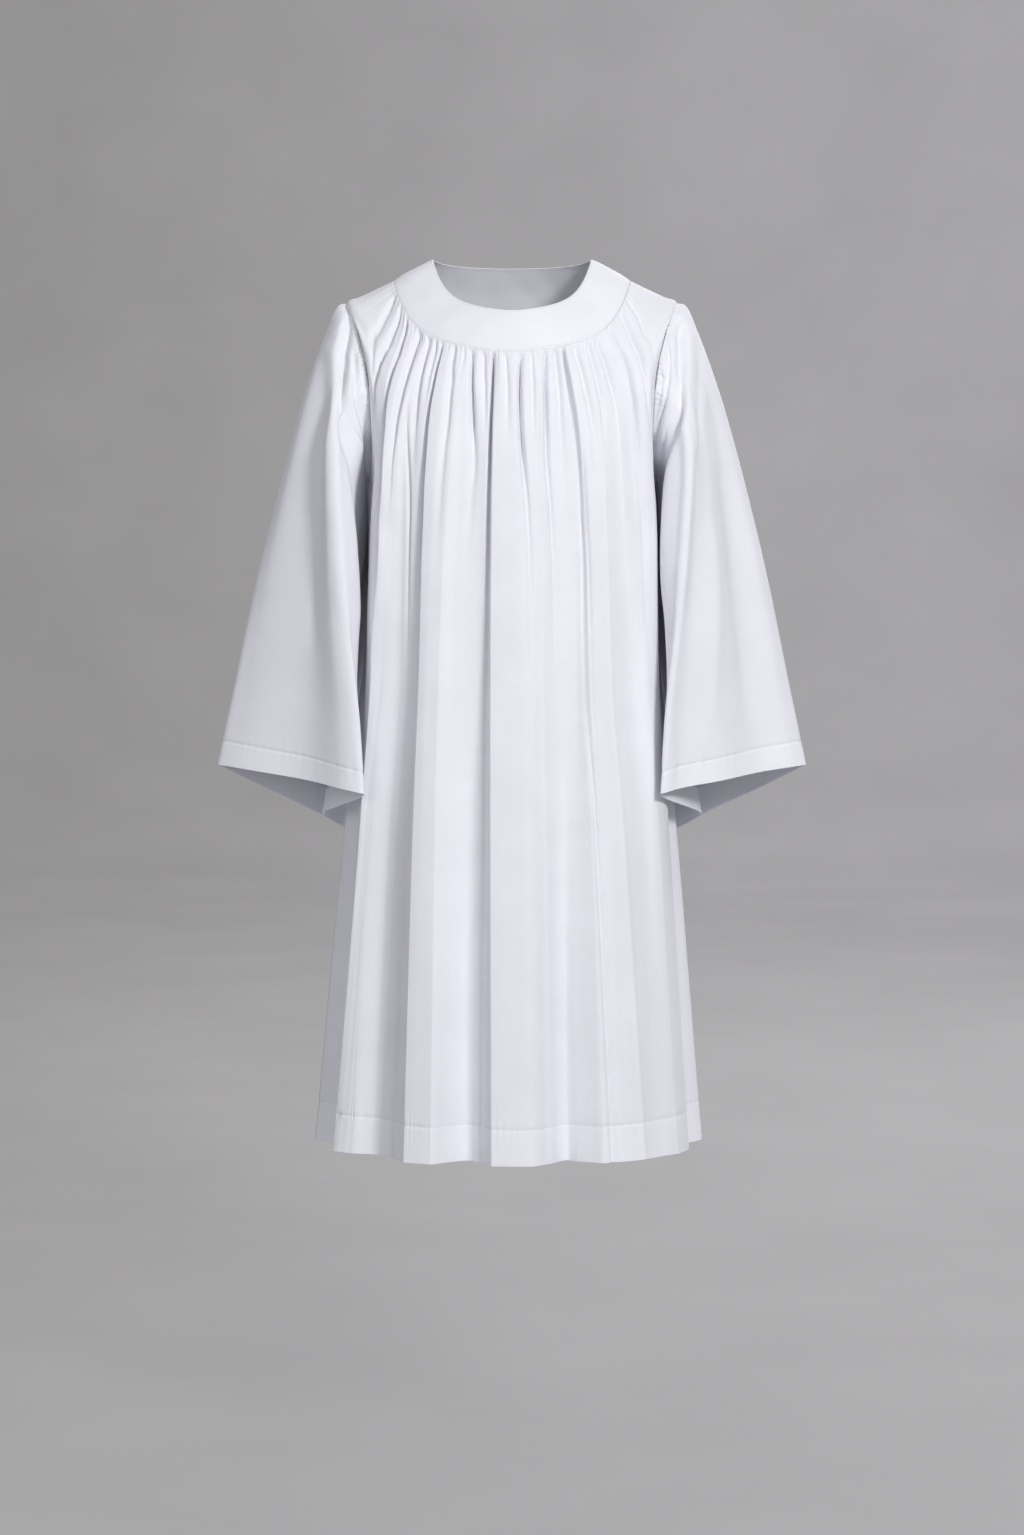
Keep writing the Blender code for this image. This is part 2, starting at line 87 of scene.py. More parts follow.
# The form of the garment: yoke, body and sleeve sections
YOKE_COLUMNS = ("share", "side_x", "side_z", "front_y", "front_z", "back_y", "back_z")
YOKE_SECTIONS = (
    (0.0, 0.0970, 0.0080, 0.088, -0.0584, 0.065, 0.0020),
    (0.5, 0.1215, -0.0040, 0.105, -0.0835, 0.089, -0.0310),
    (1.0, 0.1453, -0.0185, 0.118, -0.1090, 0.108, -0.0700),
)
BODY_COLUMNS = (
    "fall", "side_x", "chest_x", "side_y", "chest_y", "side_z",
    "front_y", "front_z", "back_y", "back_z",
)
BODY_SECTIONS = (
    (0.000, 0.1453, 0.1453, 0.000, 0.000, -0.0185, 0.118, -0.109, 0.108, -0.070),
    (0.045, 0.1882, 0.1680, 0.000, 0.004, -0.0382, 0.132, -0.1495, 0.120, -0.1165),
    (0.060, 0.2025, 0.1725, 0.000, 0.010, -0.0435, 0.136, -0.163, 0.124, -0.132),
    (0.100, 0.1860, 0.1775, 0.043, 0.030, -0.0840, 0.143, -0.205, 0.130, -0.180),
    (0.165, 0.1725, 0.1765, 0.065, 0.043, -0.1500, 0.149, -0.268, 0.134, -0.246),
    (0.225, 0.1705, 0.1755, 0.045, 0.043, -0.2200, 0.152, -0.325, 0.136, -0.306),
    (0.270, 0.1750, 0.1760, 0.000, 0.039, -0.2650, 0.154, -0.366, 0.138, -0.350),
    (0.420, 0.1795, 0.1795, 0.000, 0.024, -0.4350, 0.161, -0.510, 0.148, -0.500),
    (0.600, 0.1996, 0.1996, 0.000, 0.010, -0.6400, 0.168, -0.684, 0.161, -0.678),
    (1.000, 0.2380, 0.2380, 0.000, 0.000, -1.0900, 0.185, -1.085, 0.185, -1.087),
)
SLEEVE_COLUMNS = (
    "share", "over_x", "over_z", "fore_x", "fore_y", "fore_z",
    "under_x", "under_z", "aft_x", "aft_y", "aft_z", "over_round",
)
SLEEVE_SECTIONS = (
    (0.00, 0.2025, -0.0435, 0.1725, -0.065, -0.150, 0.1740, -0.265, 0.1725, 0.065, -0.150, 1.00),
    (0.03, 0.2125, -0.0462, 0.1850, -0.071, -0.158, 0.1800, -0.266, 0.1850, 0.071, -0.158, 1.00),
    (0.08, 0.2280, -0.0800, 0.2040, -0.082, -0.178, 0.1805, -0.272, 0.2000, 0.080, -0.176, 1.00),
    (0.20, 0.2540, -0.1600, 0.2135, -0.100, -0.235, 0.1815, -0.305, 0.1860, 0.098, -0.236, 0.90),
    (0.40, 0.2865, -0.2800, 0.2085, -0.112, -0.335, 0.1870, -0.380, 0.1800, 0.112, -0.345, 0.75),
    (0.60, 0.3160, -0.4000, 0.1990, -0.120, -0.440, 0.1970, -0.472, 0.1800, 0.118, -0.462, 0.60),
    (0.80, 0.3405, -0.5150, 0.1870, -0.124, -0.550, 0.2190, -0.576, 0.1860, 0.120, -0.588, 0.40),
    (1.00, 0.3630, -0.6175, 0.1821, -0.126, -0.642, 0.2360, -0.678, 0.1920, 0.122, -0.716, 0.25),
)
FORE_ROUND = 0.55
UNDER_ROUND = 0.8
ARMHOLE_BLEND = 0.15
ARMHOLE_FALLS = (0.060, 0.095, 0.130, 0.170, 0.210, 0.240, 0.270)

# How a row of the front gives its angles: as its fold stands on the form, as it is seen from the
# front, where a raised fold shows further out than it stands, or in degrees before the next row
STANDS, SEEN, BEFORE = "stands", "seen", "before"
SEEN_HEIGHT = 0.004  # the height above the form to which the angles seen belong
SEEN_DEPTH_SHARE = 0.4  # a long gather is seen at this share of its depth

# Hanging folds of the body, from the right side seam to the left one. Each row gives a line's angle
# in degrees from the panel's middle and its height in millimetres, both at LINE_FALLS. A sharp line
# is a crest that breaks off on the side of the lower angles (1) or of the higher ones (-1)
LINE_FALLS = (0.0, 0.02, 0.055, 0.09, 0.13, 0.20, 0.30, 0.42, 0.60, 0.80, 1.0)
FRONT_LINES = (
    (STANDS, (-90,) * 11, (0, 0, 0, 0, 0, 0, 0, 1, 3.5, 6.5, 9), 0),
    (STANDS, (-77, -76, -75.5, -76.5, -78, -79, -79, -79, -78.5, -78.5, -78.5),
     (0, 0, 0, -1, -1.5, -1, -1, -5, -13, -19, -24), 0),
    (BEFORE, (4.5, 4.5, 4, 5, 6, 8, 10, 9, 9, 8.5, 8),
     (0, 0, 0.5, 1, 2, 7, 13, 9, -1, -5, -8), 0),
    (SEEN, (-58.7, -54, -51.5, -54.3, -58.3, -63.2, -65.5, -71, -65.5, -65.3, -66.3),
     (0, 2, 4, 7, 11, 17, 22, 18, 13.5, 12, 11.5), 1),
    (SEEN, (-45.5, -43.3, -43, -45.5, -48.7, -51.8, -54, -56, -57, -56, -55),
     (0, 1.5, 3, 4.5, 6, 7, 7.5, 6.5, 5, 4, 4), -0.6),
    (SEEN, (-43, -41, -40.8, -43, -45.5, -46.8, -47, -47, -46, -45, -44),
     (0, 0, 0.8, 1, 1.5, 1, -0.5, -2.5, -7, -10, -12), 0),
    (BEFORE, (2, 1.9, 1.8, 2, 2.4, 2.8, 3, 3.2, 3.6, 4, 4.2),
     (0, 0, -0.5, -0.5, 0, 0, 0.5, 1.5, 3, 4, 4), 0),
    (SEEN, (-33.4, -32.4, -31.9, -33.1, -34.5, -36.4, -37.5, -38, -36.2, -34.6, -33.2),
     (0, 1.5, 3.5, 5.5, 8, 10, 11, 13.5, 17, 20, 23), 1),
    (SEEN, (-22.8, -21.9, -21.8, -22.3, -23.6, -26, -28.2, -29.2, -27.5, -25.5, -24),
     (0, 1, 2.5, 4, 6, 8.5, 10, 12.5, 16, 20, 23.5), -0.4),
    (SEEN, (-20, -19, -18.7, -19.2, -20.3, -21.8, -22.5, -22.7, -21, -19, -18),
     (0, 0, 0.5, 0.8, 0.5, 0, 0, 0, 0, -2, -4), 0),
    (STANDS, (-15.5, -14.6, -13.7, -13.2, -13, -13, -13.3, -13.8, -14.9, -15, -14),
     (0, -1, -2, -2.5, -3.5, -4.5, -6, -8.5, -13, -16.5, -19.5), 0),
    (BEFORE, (1, 1, 1.1, 1.1, 1.3, 1.7, 2, 2.5, 3.8, 4.6, 4.8),
     (0, 0, -0.5, -1, -1.5, -2, -3, -4.5, -6, -8, -9.5), 0),
    (SEEN, (-8.2, -7.7, -7.3, -7.4, -7.6, -8.1, -8.3, -8.3, -7.5, -6.7, -6),
     (0, 1.5, 3.5, 5, 6.5, 8.5, 10, 12.5, 16, 19.5, 22.5), 1),
    (STANDS, (1, 1.1, 0.6, 0.5, 1, 1.9, 3, 4, 4.5, 5, 5),
     (0, 2, 3.5, 5, 6.5, 8, 10, 12.5, 16.5, 20.5, 24), 0),
    (STANDS, (11, 10.3, 10, 9.6, 10, 11.2, 12.3, 12, 11.1, 10.4, 10),
     (0, 1, 2, 2.5, 3, 3, 3, 3.5, 5, 6, 7), 0),
    (STANDS, (19, 17.9, 17.5, 17.2, 18.1, 19.4, 20.5, 20, 18.7, 18, 17.5),
     (0, -1, -1.5, -2, -2.5, -3.5, -4.5, -6.5, -10.5, -14.5, -18.5), 0),
    (BEFORE, (1.3, 1.5, 1.3, 1.8, 2, 2.4, 2.8, 3.4, 5, 5.6, 5.6),
     (0, -0.5, -1, -1, -1.5, -2, -2.5, -3, -3.5, -5, -6), 0),
    (SEEN, (25.2, 24, 23.9, 25, 26.7, 28.6, 30.1, 30.5, 29.2, 27.9, 27.3),
     (0, 1.5, 3.5, 5, 6.5, 7.5, 8.5, 10, 13, 16.5, 20), 0.8),
    (SEEN, (36, 34.5, 34.3, 35.6, 37.3, 38.9, 40.2, 41, 40.3, 39.7, 39.5),
     (0, 1.5, 3, 4.5, 6, 7.5, 8.5, 9.5, 12, 15, 18), 0),
    (SEEN, (43.7, 42.2, 42.8, 44.2, 45.8, 48, 50, 52, 51, 49.5, 48.5),
     (0, 0, 0, 0.5, 1, 2, 3, 5, 8, 10, 11.5), 0),
    (SEEN, (51.5, 50.2, 50, 51.2, 52.3, 55.7, 59.7, 65, 61.5, 59.3, 58.2),
     (0, 1.5, 3.5, 6, 8.5, 12, 15, 14, 13, 12, 12), -0.6),
    (STANDS, (57.5, 55, 54, 57, 59.5, 61, 61.5, 65, 68, 69, 68.5),
     (0, 2, 4, 7, 11, 17, 21, 15, 5, -1, -4), 0),
    (STANDS, (80, 79, 78.5, 79, 80, 81, 81, 81, 80, 79.5, 79.5),
     (0, 0, 0, -1, -1.5, -1, -1, -5, -12, -18, -22), 0),
    (STANDS, (90,) * 11, (0, 0, 0, 0, 0, 0, 0, 0, 0.5, 0.5, 0.5), 0),
)
# The same for the back, with angles at the last five falls only: above them a line runs in to the
# yoke as RUN_IN says
RUN_IN = (0.88, 0.85, 0.83, 0.845, 0.9, 0.96)
BACK_LINES = (
    ((-90,) * 5, (0, 0, 0, 0, 0, 0, 0, 1, 3.5, 6.5, 9), 0),
    ((-76, -75.5, -74, -73, -72), (0, 0, 0, -1, -2, -3, -4, -6, -8.5, -11, -14), 0),
    ((-63, -62, -60, -59, -58), (0, 1, 3, 5, 7, 9, 11, 11, 12, 13, 14), -0.6),
    ((-55, -54, -53, -51, -50), (0, 0, 1, 1.5, 2, 2, 2, 2, 1, 0, 0), 0),
    ((-43, -42.5, -42, -42, -42), (0, -0.5, -1, -1.5, -2, -3.5, -4.5, -6.5, -9, -10.5, -12), 0),
    ((-32, -32, -31.5, -31, -30), (0, 1.5, 3, 5, 6, 7.5, 9, 10, 11.5, 13, 14.5), -1),
    ((-29.5, -29, -28, -27, -26), (0, 0, 0, 0, 0.5, 1, 1.5, 2, 3, 3, 3), 0),
    ((-18, -17.5, -17, -16, -14.5), (0, -1, -1.5, -2.5, -3.5, -5, -6, -8, -9.5, -11, -12.5), 0),
    ((-5, -5, -5.5, -5.5, -5), (0, 0, 0, 0, 0.5, 1, 1.5, 2, 3, 4, 5), 0),
    ((-2.5, -2.5, -2, -1, -0.5), (0, 1.5, 3.5, 5, 6.5, 8.5, 10, 12.5, 15, 17, 19.5), 1),
    ((4, 4, 4, 4, 4), (0, 1.5, 3, 4.5, 5.5, 7, 8.5, 11, 13.5, 16, 18.5), 0),
    ((15.5, 15.5, 15, 15, 15), (0, -0.5, -1, -2, -3, -4, -5, -6.5, -8.5, -10.5, -12), 0),
    ((28, 28, 27, 25.5, 24), (0, 0, 0, 0, 0.5, 1, 1.5, 2, 3, 4, 4), 0),
    ((31, 31, 30.5, 30, 29), (0, 1.5, 3, 5, 6.5, 8, 9.5, 11, 13, 15, 16.5), 1),
    ((37, 37, 36, 36, 35), (0, 1, 2.5, 4, 5, 6.5, 8, 9.5, 11, 12.5, 14), 0),
    ((45, 44.5, 43.5, 43, 42.5), (0, -0.5, -0.5, -1.5, -2.5, -4, -5, -6.5, -8.5, -10.5, -12), 0),
    ((56, 55, 53, 51.5, 50), (0, 0, 1, 1.5, 2, 2, 2, 2, 1.5, 1.5, 1), 0),
    ((63, 62, 59.5, 58, 56.5), (0, 1, 3, 5, 7, 9, 11, 11, 11.5, 12.5, 13.5), 0.6),
    ((76, 75.5, 74, 72, 70), (0, 0, 0, -1, -2, -3, -4, -5, -7.5, -10, -12), 0),
    ((90,) * 5, (0, 0, 0, 0, 0, 0, 0, 0, 0.5, 0.5, 0.5), 0),
)

# Gathers that run on below the yoke seam, deepest first at GROOVE_FALLS: angles in degrees, depths in
# units of GROOVE_DEPTH, and widths in degrees on the side of the lower and of the higher angles. One of
# negative depth is a low ridge. A row of the back gives the angle below the yoke only
GROOVE_FALLS = (0.0, 0.02, 0.055, 0.09, 0.13, 0.20, 0.30, 0.42)
FRONT_GROOVES = (
    (STANDS, (-75, -70.4, -66, -68, -73, -77, -78, -78),
     (0.5, 1.5, 1.5, 1, 0.5, 0, 0, 0), 1.4, 1.4),
    (STANDS, (-67, -62, -59, -63.5, -70, -76, -79, -79),
     (1, 2, 2.2, 2.4, 1.8, 0.6, 0, 0), 1.1, 0.8),
    (STANDS, (-60, -55, -52, -54.5, -57, -58, -57, -62),
     (1.2, 2.6, 3.2, 3.6, 3.6, 3, 1.8, 0), 1, 0.4),
    (SEEN, (-48.5, -46.5, -45.2, -47.3, -51.3, -57, -60, -60),
     (1, 2.2, 2.5, 2.7, 2.2, 0.9, 0, 0), 1.2, 0.7),
    (SEEN, (-45, -45, -45, -45.2, -44.8, -43.6, -43.9, -44),
     (0, 0, 0, 0, 0.8, 1.3, 0.8, 0.2), 0.6, 0.4),
    (SEEN, (-42, -40.2, -39, -39.5, -40.8, -42, -43, -43),
     (1, 2, 2.2, 1.8, 0.8, 0, 0, 0), 1.1, 0.7),
    (SEEN, (-38.5, -36, -35.4, -35.6, -36.5, -38, -39, -39),
     (0.6, 1.2, 0.8, 0.2, 0, 0, 0, 0), 0.8, 0.7),
    (STANDS, (-34.6, -33.4, -32.6, -33.7, -35, -36.6, -37.8, -38),
     (1.4, 3, 3.5, 3.5, 3.3, 3, 2.4, 1.2), 0.6, 0.3),
    (SEEN, (-27.3, -26.5, -25, -25.4, -27, -29.3, -31, -31),
     (1, 2.2, 2.2, 1.8, 1.2, 0.5, 0, 0), 1.1, 0.8),
    (SEEN, (-18.8, -17.4, -15.9, -14.9, -14.4, -16, -18, -18),
     (1.3, 2.9, 3.6, 3.2, 2, 0.7, 0, 0), 0.8, 0.5),
    (SEEN, (-13, -12.2, -11, -10.3, -9.6, -9, -9, -9),
     (0.8, 1.6, 1.2, 0.4, 0, 0, 0, 0), 0.8, 0.6),
    (SEEN, (-8.6, -8.1, -7.7, -7.9, -8.2, -8.7, -9, -9.2),
     (1.4, 3, 3.5, 3.5, 3.3, 3, 2.4, 1.2), 0.5, 0.3),
    (SEEN, (-3, -2.6, -1.9, -1.6, -1.6, -1.6, -1.6, -1.6),
     (0.8, 1.5, 1.1, 0.4, 0, 0, 0, 0), 0.8, 0.7),
    (SEEN, (4, 3.6, 3, 3.2, 4, 5.9, 7, 7),
     (1.4, 3, 3.6, 3.5, 3, 1.4, 0.7, 0.2), 0.6, 0.5),
    (SEEN, (9, 8.6, 8.2, 8, 8.2, 8.7, 9, 9),
     (0.9, 1.6, 1.3, 0.7, 0, 0, 0, 0), 0.8, 0.7),
    (SEEN, (12, 11.6, 11.4, 11.5, 11.6, 11.9, 12.2, 11.8),
     (0, 0, -0.3, -0.4, -0.4, -0.4, -0.4, -0.4), 0.5, 0.8),
    (SEEN, (15.8, 14.4, 13.2, 13, 13.2, 15, 16, 16),
     (1.3, 3, 3.5, 3.4, 2.8, 1.7, 0.9, 0), 0.5, 0.6),
    (SEEN, (20.5, 19.5, 18.8, 18.8, 19.8, 21, 22, 22),
     (0.9, 1.8, 1.5, 1.1, 0.6, 0.2, 0, 0), 1, 0.8),
    (SEEN, (24.8, 23.8, 23.5, 24.6, 26.2, 27.9, 29.3, 29.6),
     (1.5, 3.2, 3.7, 3.7, 3.6, 3.3, 2.7, 1.4), 0.6, 0.3),
    (SEEN, (28, 28, 28, 28, 28.3, 29.6, 31.3, 31.8),
     (0, 0, 0, 0, 0.4, 1, 1, 0.5), 0.5, 0.4),
    (SEEN, (30.5, 29.9, 30, 31.5, 33.5, 34, 35, 35),
     (0.9, 2, 1.9, 1.2, 0.6, 0, 0, 0), 1, 0.8),
    (SEEN, (38.2, 36.8, 36, 37, 37.8, 38.7, 40, 40),
     (0.9, 2.2, 2.2, 1.4, 0.4, 0, 0, 0), 1, 0.8),
    (SEEN, (36, 35, 34.6, 35.8, 37.3, 38.9, 40.2, 41),
     (0, 0, 0, -0.3, -0.4, -0.4, -0.4, -0.4), 0.5, 0.8),
    (SEEN, (43.3, 42, 41.6, 43.3, 45.8, 48, 49, 49),
     (0.9, 2.2, 2.2, 1.3, 0.5, 0, 0, 0), 0.9, 0.8),
    (SEEN, (52.5, 50.8, 50.8, 52.7, 55.6, 60.5, 63, 66),
     (0.4, 1.2, 2.2, 3.2, 3.6, 2.2, 0.8, 0), 0.5, 0.9),
    (STANDS, (64, 61, 58, 60.5, 63.5, 67, 70, 72),
     (1.4, 2.8, 3, 1.8, 0.8, 0, 0, 0), 0.8, 1.1),
    (STANDS, (72, 69.3, 64.6, 69, 73, 77, 78, 78),
     (0.8, 1.4, 1, 0.3, 0, 0, 0, 0), 1.1, 1.2),
)
BACK_GROOVES = (
    (-72, (0.6, 1.4, 1.4, 1, 0.4, 0, 0, 0), 1.2, 1),
    (-63.5, (1, 2, 2.4, 2.2, 1.8, 1.2, 0.5, 0), 0.6, 1.1),
    (-57, (0.9, 1.8, 1.2, 0.5, 0, 0, 0, 0), 0.8, 1),
    (-50, (1, 2, 2, 1.4, 0.6, 0, 0, 0), 0.8, 1.1),
    (-44, (0.8, 1.6, 1.2, 0.4, 0, 0, 0, 0), 0.9, 0.9),
    (-38, (0.9, 2, 1.8, 1.4, 0.6, 0, 0, 0), 0.9, 0.9),
    (-31, (1.2, 2.6, 3, 2.8, 2.4, 1.8, 1, 0.4), 0.5, 0.9),
    (-24.5, (0.8, 1.4, 1, 0.4, 0, 0, 0, 0), 0.8, 0.9),
    (-18, (1, 2.2, 2.2, 1.6, 0.8, 0.2, 0, 0), 0.8, 0.8),
    (-11.5, (0.8, 1.5, 1, 0.3, 0, 0, 0, 0), 0.8, 0.8),
    (-3.2, (1.2, 2.6, 3, 2.8, 2.4, 1.8, 1, 0.4), 0.9, 0.5),
    (3.5, (0.8, 1.4, 0.9, 0.3, 0, 0, 0, 0), 0.8, 0.8),
    (9, (1, 2.2, 2.4, 1.8, 1, 0.3, 0, 0), 0.8, 0.8),
    (16, (0.8, 1.6, 1.1, 0.4, 0, 0, 0, 0), 0.8, 0.8),
    (23, (0.9, 2, 1.8, 1.2, 0.5, 0, 0, 0), 0.9, 0.8),
    (30.2, (1.2, 2.6, 3, 2.8, 2.6, 2, 1.2, 0.4), 0.9, 0.5),
    (36.5, (0.8, 1.5, 1, 0.4, 0, 0, 0, 0), 0.9, 0.9),
    (43, (0.9, 2, 1.9, 1.2, 0.4, 0, 0, 0), 1, 0.8),
    (50, (0.8, 1.6, 1.2, 0.5, 0, 0, 0, 0), 1, 0.9),
    (57, (1, 2.2, 2, 1.4, 0.6, 0, 0, 0), 1.1, 0.8),
    (64, (1, 2, 2.2, 2, 1.6, 1, 0.4, 0), 1.1, 0.6),
    (72, (0.6, 1.4, 1.2, 0.8, 0.3, 0, 0, 0), 1, 1.2),
)

# Folds round a sleeve, as in its solid: the place in turns from the overarm through the front, and
# the height at each of SLEEVE_FOLD_SHARES
SLEEVE_FOLD_SHARES = (0.0, 0.2, 0.5, 1.0)
UNDERARM_FOLDS = (
    (0.285, 0, -0.002, -0.002, -0.001),
    (0.345, 0, 0.004, 0.003, 0.000),
    (0.420, 0, -0.003, -0.002, 0.000),
    (0.500, 0, 0.000, -0.002, -0.002),
    (0.580, 0, 0.000, 0.000, 0.000),
)
LEFT_SLEEVE_FOLDS = (
    (0.040, 0, 0.003, 0.004, 0.003),
    (0.090, 0, -0.003, -0.006, -0.005),
    (0.145, 0, -0.004, 0.003, 0.004),
    (0.195, 0, 0.003, -0.002, -0.003),
    (0.235, 0, 0.004, 0.003, 0.002),
    *UNDERARM_FOLDS,
    (0.690, 0, -0.005, -0.005, -0.004),
    (0.765, 0, 0.004, 0.004, 0.004),
    (0.840, 0, -0.006, -0.007, -0.006),
    (0.920, 0, 0.005, 0.006, 0.005),
)
RIGHT_SLEEVE_FOLDS = (
    (0.050, 0, 0.003, 0.004, 0.004),
    (0.140, 0, -0.006, -0.009, -0.006),
    (0.205, 0, 0.005, 0.006, 0.004),
    *UNDERARM_FOLDS,
    (0.690, 0, -0.005, -0.006, -0.005),
    (0.775, 0, 0.005, 0.005, 0.004),
    (0.860, 0, -0.006, -0.007, -0.006),
    (0.950, 0, 0.004, 0.004, 0.004),
)

# Creases that hang down a sleeve: height in millimetres, widths towards the body and away from it,
# and the line as (distance from the middle, height) points
RIGHT_CREASES = (
    (-9, 0.008, 0.003, (
        (0.2000, -0.062), (0.2100, -0.108), (0.2105, -0.160), (0.2070, -0.209),
        (0.2045, -0.247), (0.2000, -0.310), (0.1965, -0.359), (0.1900, -0.431),
    )),
    (2.5, 0.003, 0.012, (
        (0.2070, -0.062), (0.2185, -0.108), (0.2190, -0.160), (0.2155, -0.209),
        (0.2130, -0.247), (0.2085, -0.310), (0.2050, -0.359), (0.1980, -0.431),
    )),
    (-5, 0.005, 0.0025, ((0.1935, -0.110), (0.1915, -0.160), (0.1855, -0.198), (0.1800, -0.246))),
    (-2.5, 0.003, 0.002, ((0.1850, -0.095), (0.1833, -0.117), (0.1812, -0.156), (0.1800, -0.212))),
    (-3, 0.010, 0.010, (
        (0.2324, -0.109), (0.2383, -0.200), (0.2401, -0.268), (0.2374, -0.336), (0.2457, -0.454),
    )),
    (0.5, 0.002, 0.002, ((0.2290, -0.250), (0.2265, -0.330), (0.2270, -0.400))),
)
LEFT_CREASES = (
    (-9, 0.008, 0.003, (
        (0.2090, -0.074), (0.2105, -0.110), (0.2075, -0.156), (0.2030, -0.201), (0.1985, -0.247),
        (0.1945, -0.292), (0.1910, -0.360), (0.1880, -0.410),
    )),
    (2.5, 0.003, 0.012, (
        (0.2160, -0.074), (0.2180, -0.110), (0.2150, -0.156), (0.2105, -0.201), (0.2065, -0.247),
        (0.2025, -0.292), (0.1990, -0.360), (0.1950, -0.410),
    )),
    (-4, 0.003, 0.002, (
        (0.1879, -0.084), (0.1925, -0.111), (0.1914, -0.138), (0.1871, -0.166), (0.1752, -0.223),
    )),
    (-3, 0.003, 0.002, ((0.1804, -0.124), (0.1833, -0.142), (0.1781, -0.178), (0.1722, -0.208))),
    (-4, 0.004, 0.003, ((0.1937, -0.200), (0.1905, -0.230), (0.1830, -0.257), (0.1794, -0.292))),
    (-2, 0.005, 0.005, ((0.2267, -0.085), (0.2307, -0.120), (0.2288, -0.178), (0.2246, -0.247))),
    (-2, 0.009, 0.012, (
        (0.2574, -0.247), (0.2693, -0.338), (0.2767, -0.407), (0.2851, -0.478), (0.2927, -0.549),
    )),
    (1.5, 0.008, 0.006, (
        (0.2340, -0.154), (0.2397, -0.292), (0.2489, -0.383), (0.2493, -0.453), (0.2441, -0.547),
    )),
)

# Colours, weave and stitches
CLOTH_COLOUR = (0.85, 0.85, 0.90)
# the hem's lighter tone is painted light: it stands in for less shade showing through the doubled cloth
HEM_PAINTED_LIGHT_COLOUR = (0.885, 0.885, 0.935)
YOKE_COLOUR = (0.87, 0.87, 0.92)
STITCH_COLOUR = (0.78, 0.78, 0.83, 1)
THREAD_PITCH = 0.0006
STITCH_PITCH = 0.0030
STITCH_SHARE = 0.74
STITCH_HALF_WIDTH = 0.00035

# Studio: a sweep with its own soft light, lamps as (place, size, power), and the camera
FLOOR_Z = -1.54
STUDIO_RADIUS = 9.0
STUDIO_HEIGHT = 9.0
SWEEP_CURVE = 2.0
STUDIO_COLOUR = (0.10, 0.10, 0.10, 1)
STUDIO_LEFT_LIGHT = (0.250, 0.243, 0.245, 1)
STUDIO_RIGHT_LIGHT = (0.335, 0.327, 0.335, 1)
STUDIO_LIGHT_FROM_X = (-2.4, 1.2)
WORLD_LIGHT = (0.98, 0.98, 1.04, 1)
WORLD_STRENGTH = 0.34
LAMPS = {
    "key": ((2.0, -4.1, 1.6), (0.7, 0.9), 148),
    "fill": ((-2.6, -3.7, 0.9), (2.0, 2.0), 28),
    "back": ((1.5, 3.6, 1.8), (2.5, 2.5), 120),
}
LAMPS_AIM = (0.0, 0.0, -0.5)
CAMERA_DISTANCE = 4.2
CAMERA_Z = -0.30
CAMERA_AIM_Z = -0.62
SENSOR = 36.0
FOCAL_SHARE = 3369.7 / 1535  # the focal length in picture heights


def smooth(part):
    """An even rise from 0 to 1."""
    part = np.clip(part, 0, 1)
    return part * part * (3 - 2 * part)


def unit(vectors):
    return vectors / np.maximum(np.linalg.norm(vectors, axis=-1, keepdims=True), 1e-12)


def slopes(knots, values):
    """Slopes of a curve through the values that never overshoots them."""
    rates = np.diff(values, axis=0) / np.diff(knots)[:, None]
    result = np.zeros_like(values)
    before, after = rates[:-1], rates[1:]
    same_way = before * after > 0
    total = np.where(same_way, before + after, 1.0)
    result[1:-1] = np.where(same_way, 2 * before * after / total, 0.0)
    result[0], result[-1] = rates[0], rates[-1]
    return result


def curve_through(knots, values, places):
    """Values of every column at each place along the knots."""
    knots, values = np.array(knots, float), np.array(values, float)
    tangents = slopes(knots, values)
    places = np.clip(np.asarray(places, float), knots[0], knots[-1])
    low = np.clip(np.searchsorted(knots, places, side="right") - 1, 0, len(knots) - 2)
    width = (knots[low + 1] - knots[low])[:, None]
    part = (places - knots[low])[:, None] / width
    rise = smooth(part)
    curve = values[low] * (1 - rise) + values[low + 1] * rise
    curve += width * part * (1 - part) * ((1 - part) * tangents[low] - part * tangents[low + 1])
    return curve


def sample(sections, columns, places):
    """The sections' named columns at each place."""
    table = np.array(sections)
    curve = curve_through(table[:, 0], table[:, 1:], places)
    return {name: curve[:, i:i + 1] for i, name in enumerate(columns[1:])}


def drape(swing):
    """How far a panel's middle hangs below its sides, from 0 at a side to 1 in the middle."""
    return swing * swing * (swing + (1 - swing * swing) * (3 - 2 * swing))


class Half:
    """The front or the back: its side of the garment, its fold lines and its long gathers."""

    def __init__(self, name, sign, seed):
        self.name, self.sign, self.seed = name, sign, seed
        self.y, self.z = name + "_y", name + "_z"
        self.lines, self.grooves = [], []


def yoke_surface(half, angles, shares):
    """The bare form of a yoke half; shares run from its neck edge to the gathered seam."""
    row = sample(YOKE_SECTIONS, YOKE_COLUMNS, shares)
    swing = np.cos(angles)
    x = row["side_x"] * np.sin(angles)
    y = half.sign * (row[half.y] * swing + SEAM_GAP / 2)
    z = row["side_z"] + (row[half.z] - row["side_z"]) * drape(swing)
    return np.stack([x, y, z], axis=-1)


def body_surface(half, angles, falls):
    """The bare form of a body panel; falls run from the yoke seam to the hem."""
    row = sample(BODY_SECTIONS, BODY_COLUMNS, falls)
    swing = np.cos(angles)
    at_edge = np.abs(np.sin(angles)) ** 9
    x = (row["chest_x"] + (row["side_x"] - row["chest_x"]) * at_edge) * np.sin(angles)
    out = row["chest_y"] + (row["side_y"] - row["chest_y"]) * at_edge
    y = half.sign * (out + (row[half.y] - out) * swing + SEAM_GAP / 2)
    z = row["side_z"] + (row[half.z] - row["side_z"]) * drape(swing)
    return np.stack([x, y, z], axis=-1)


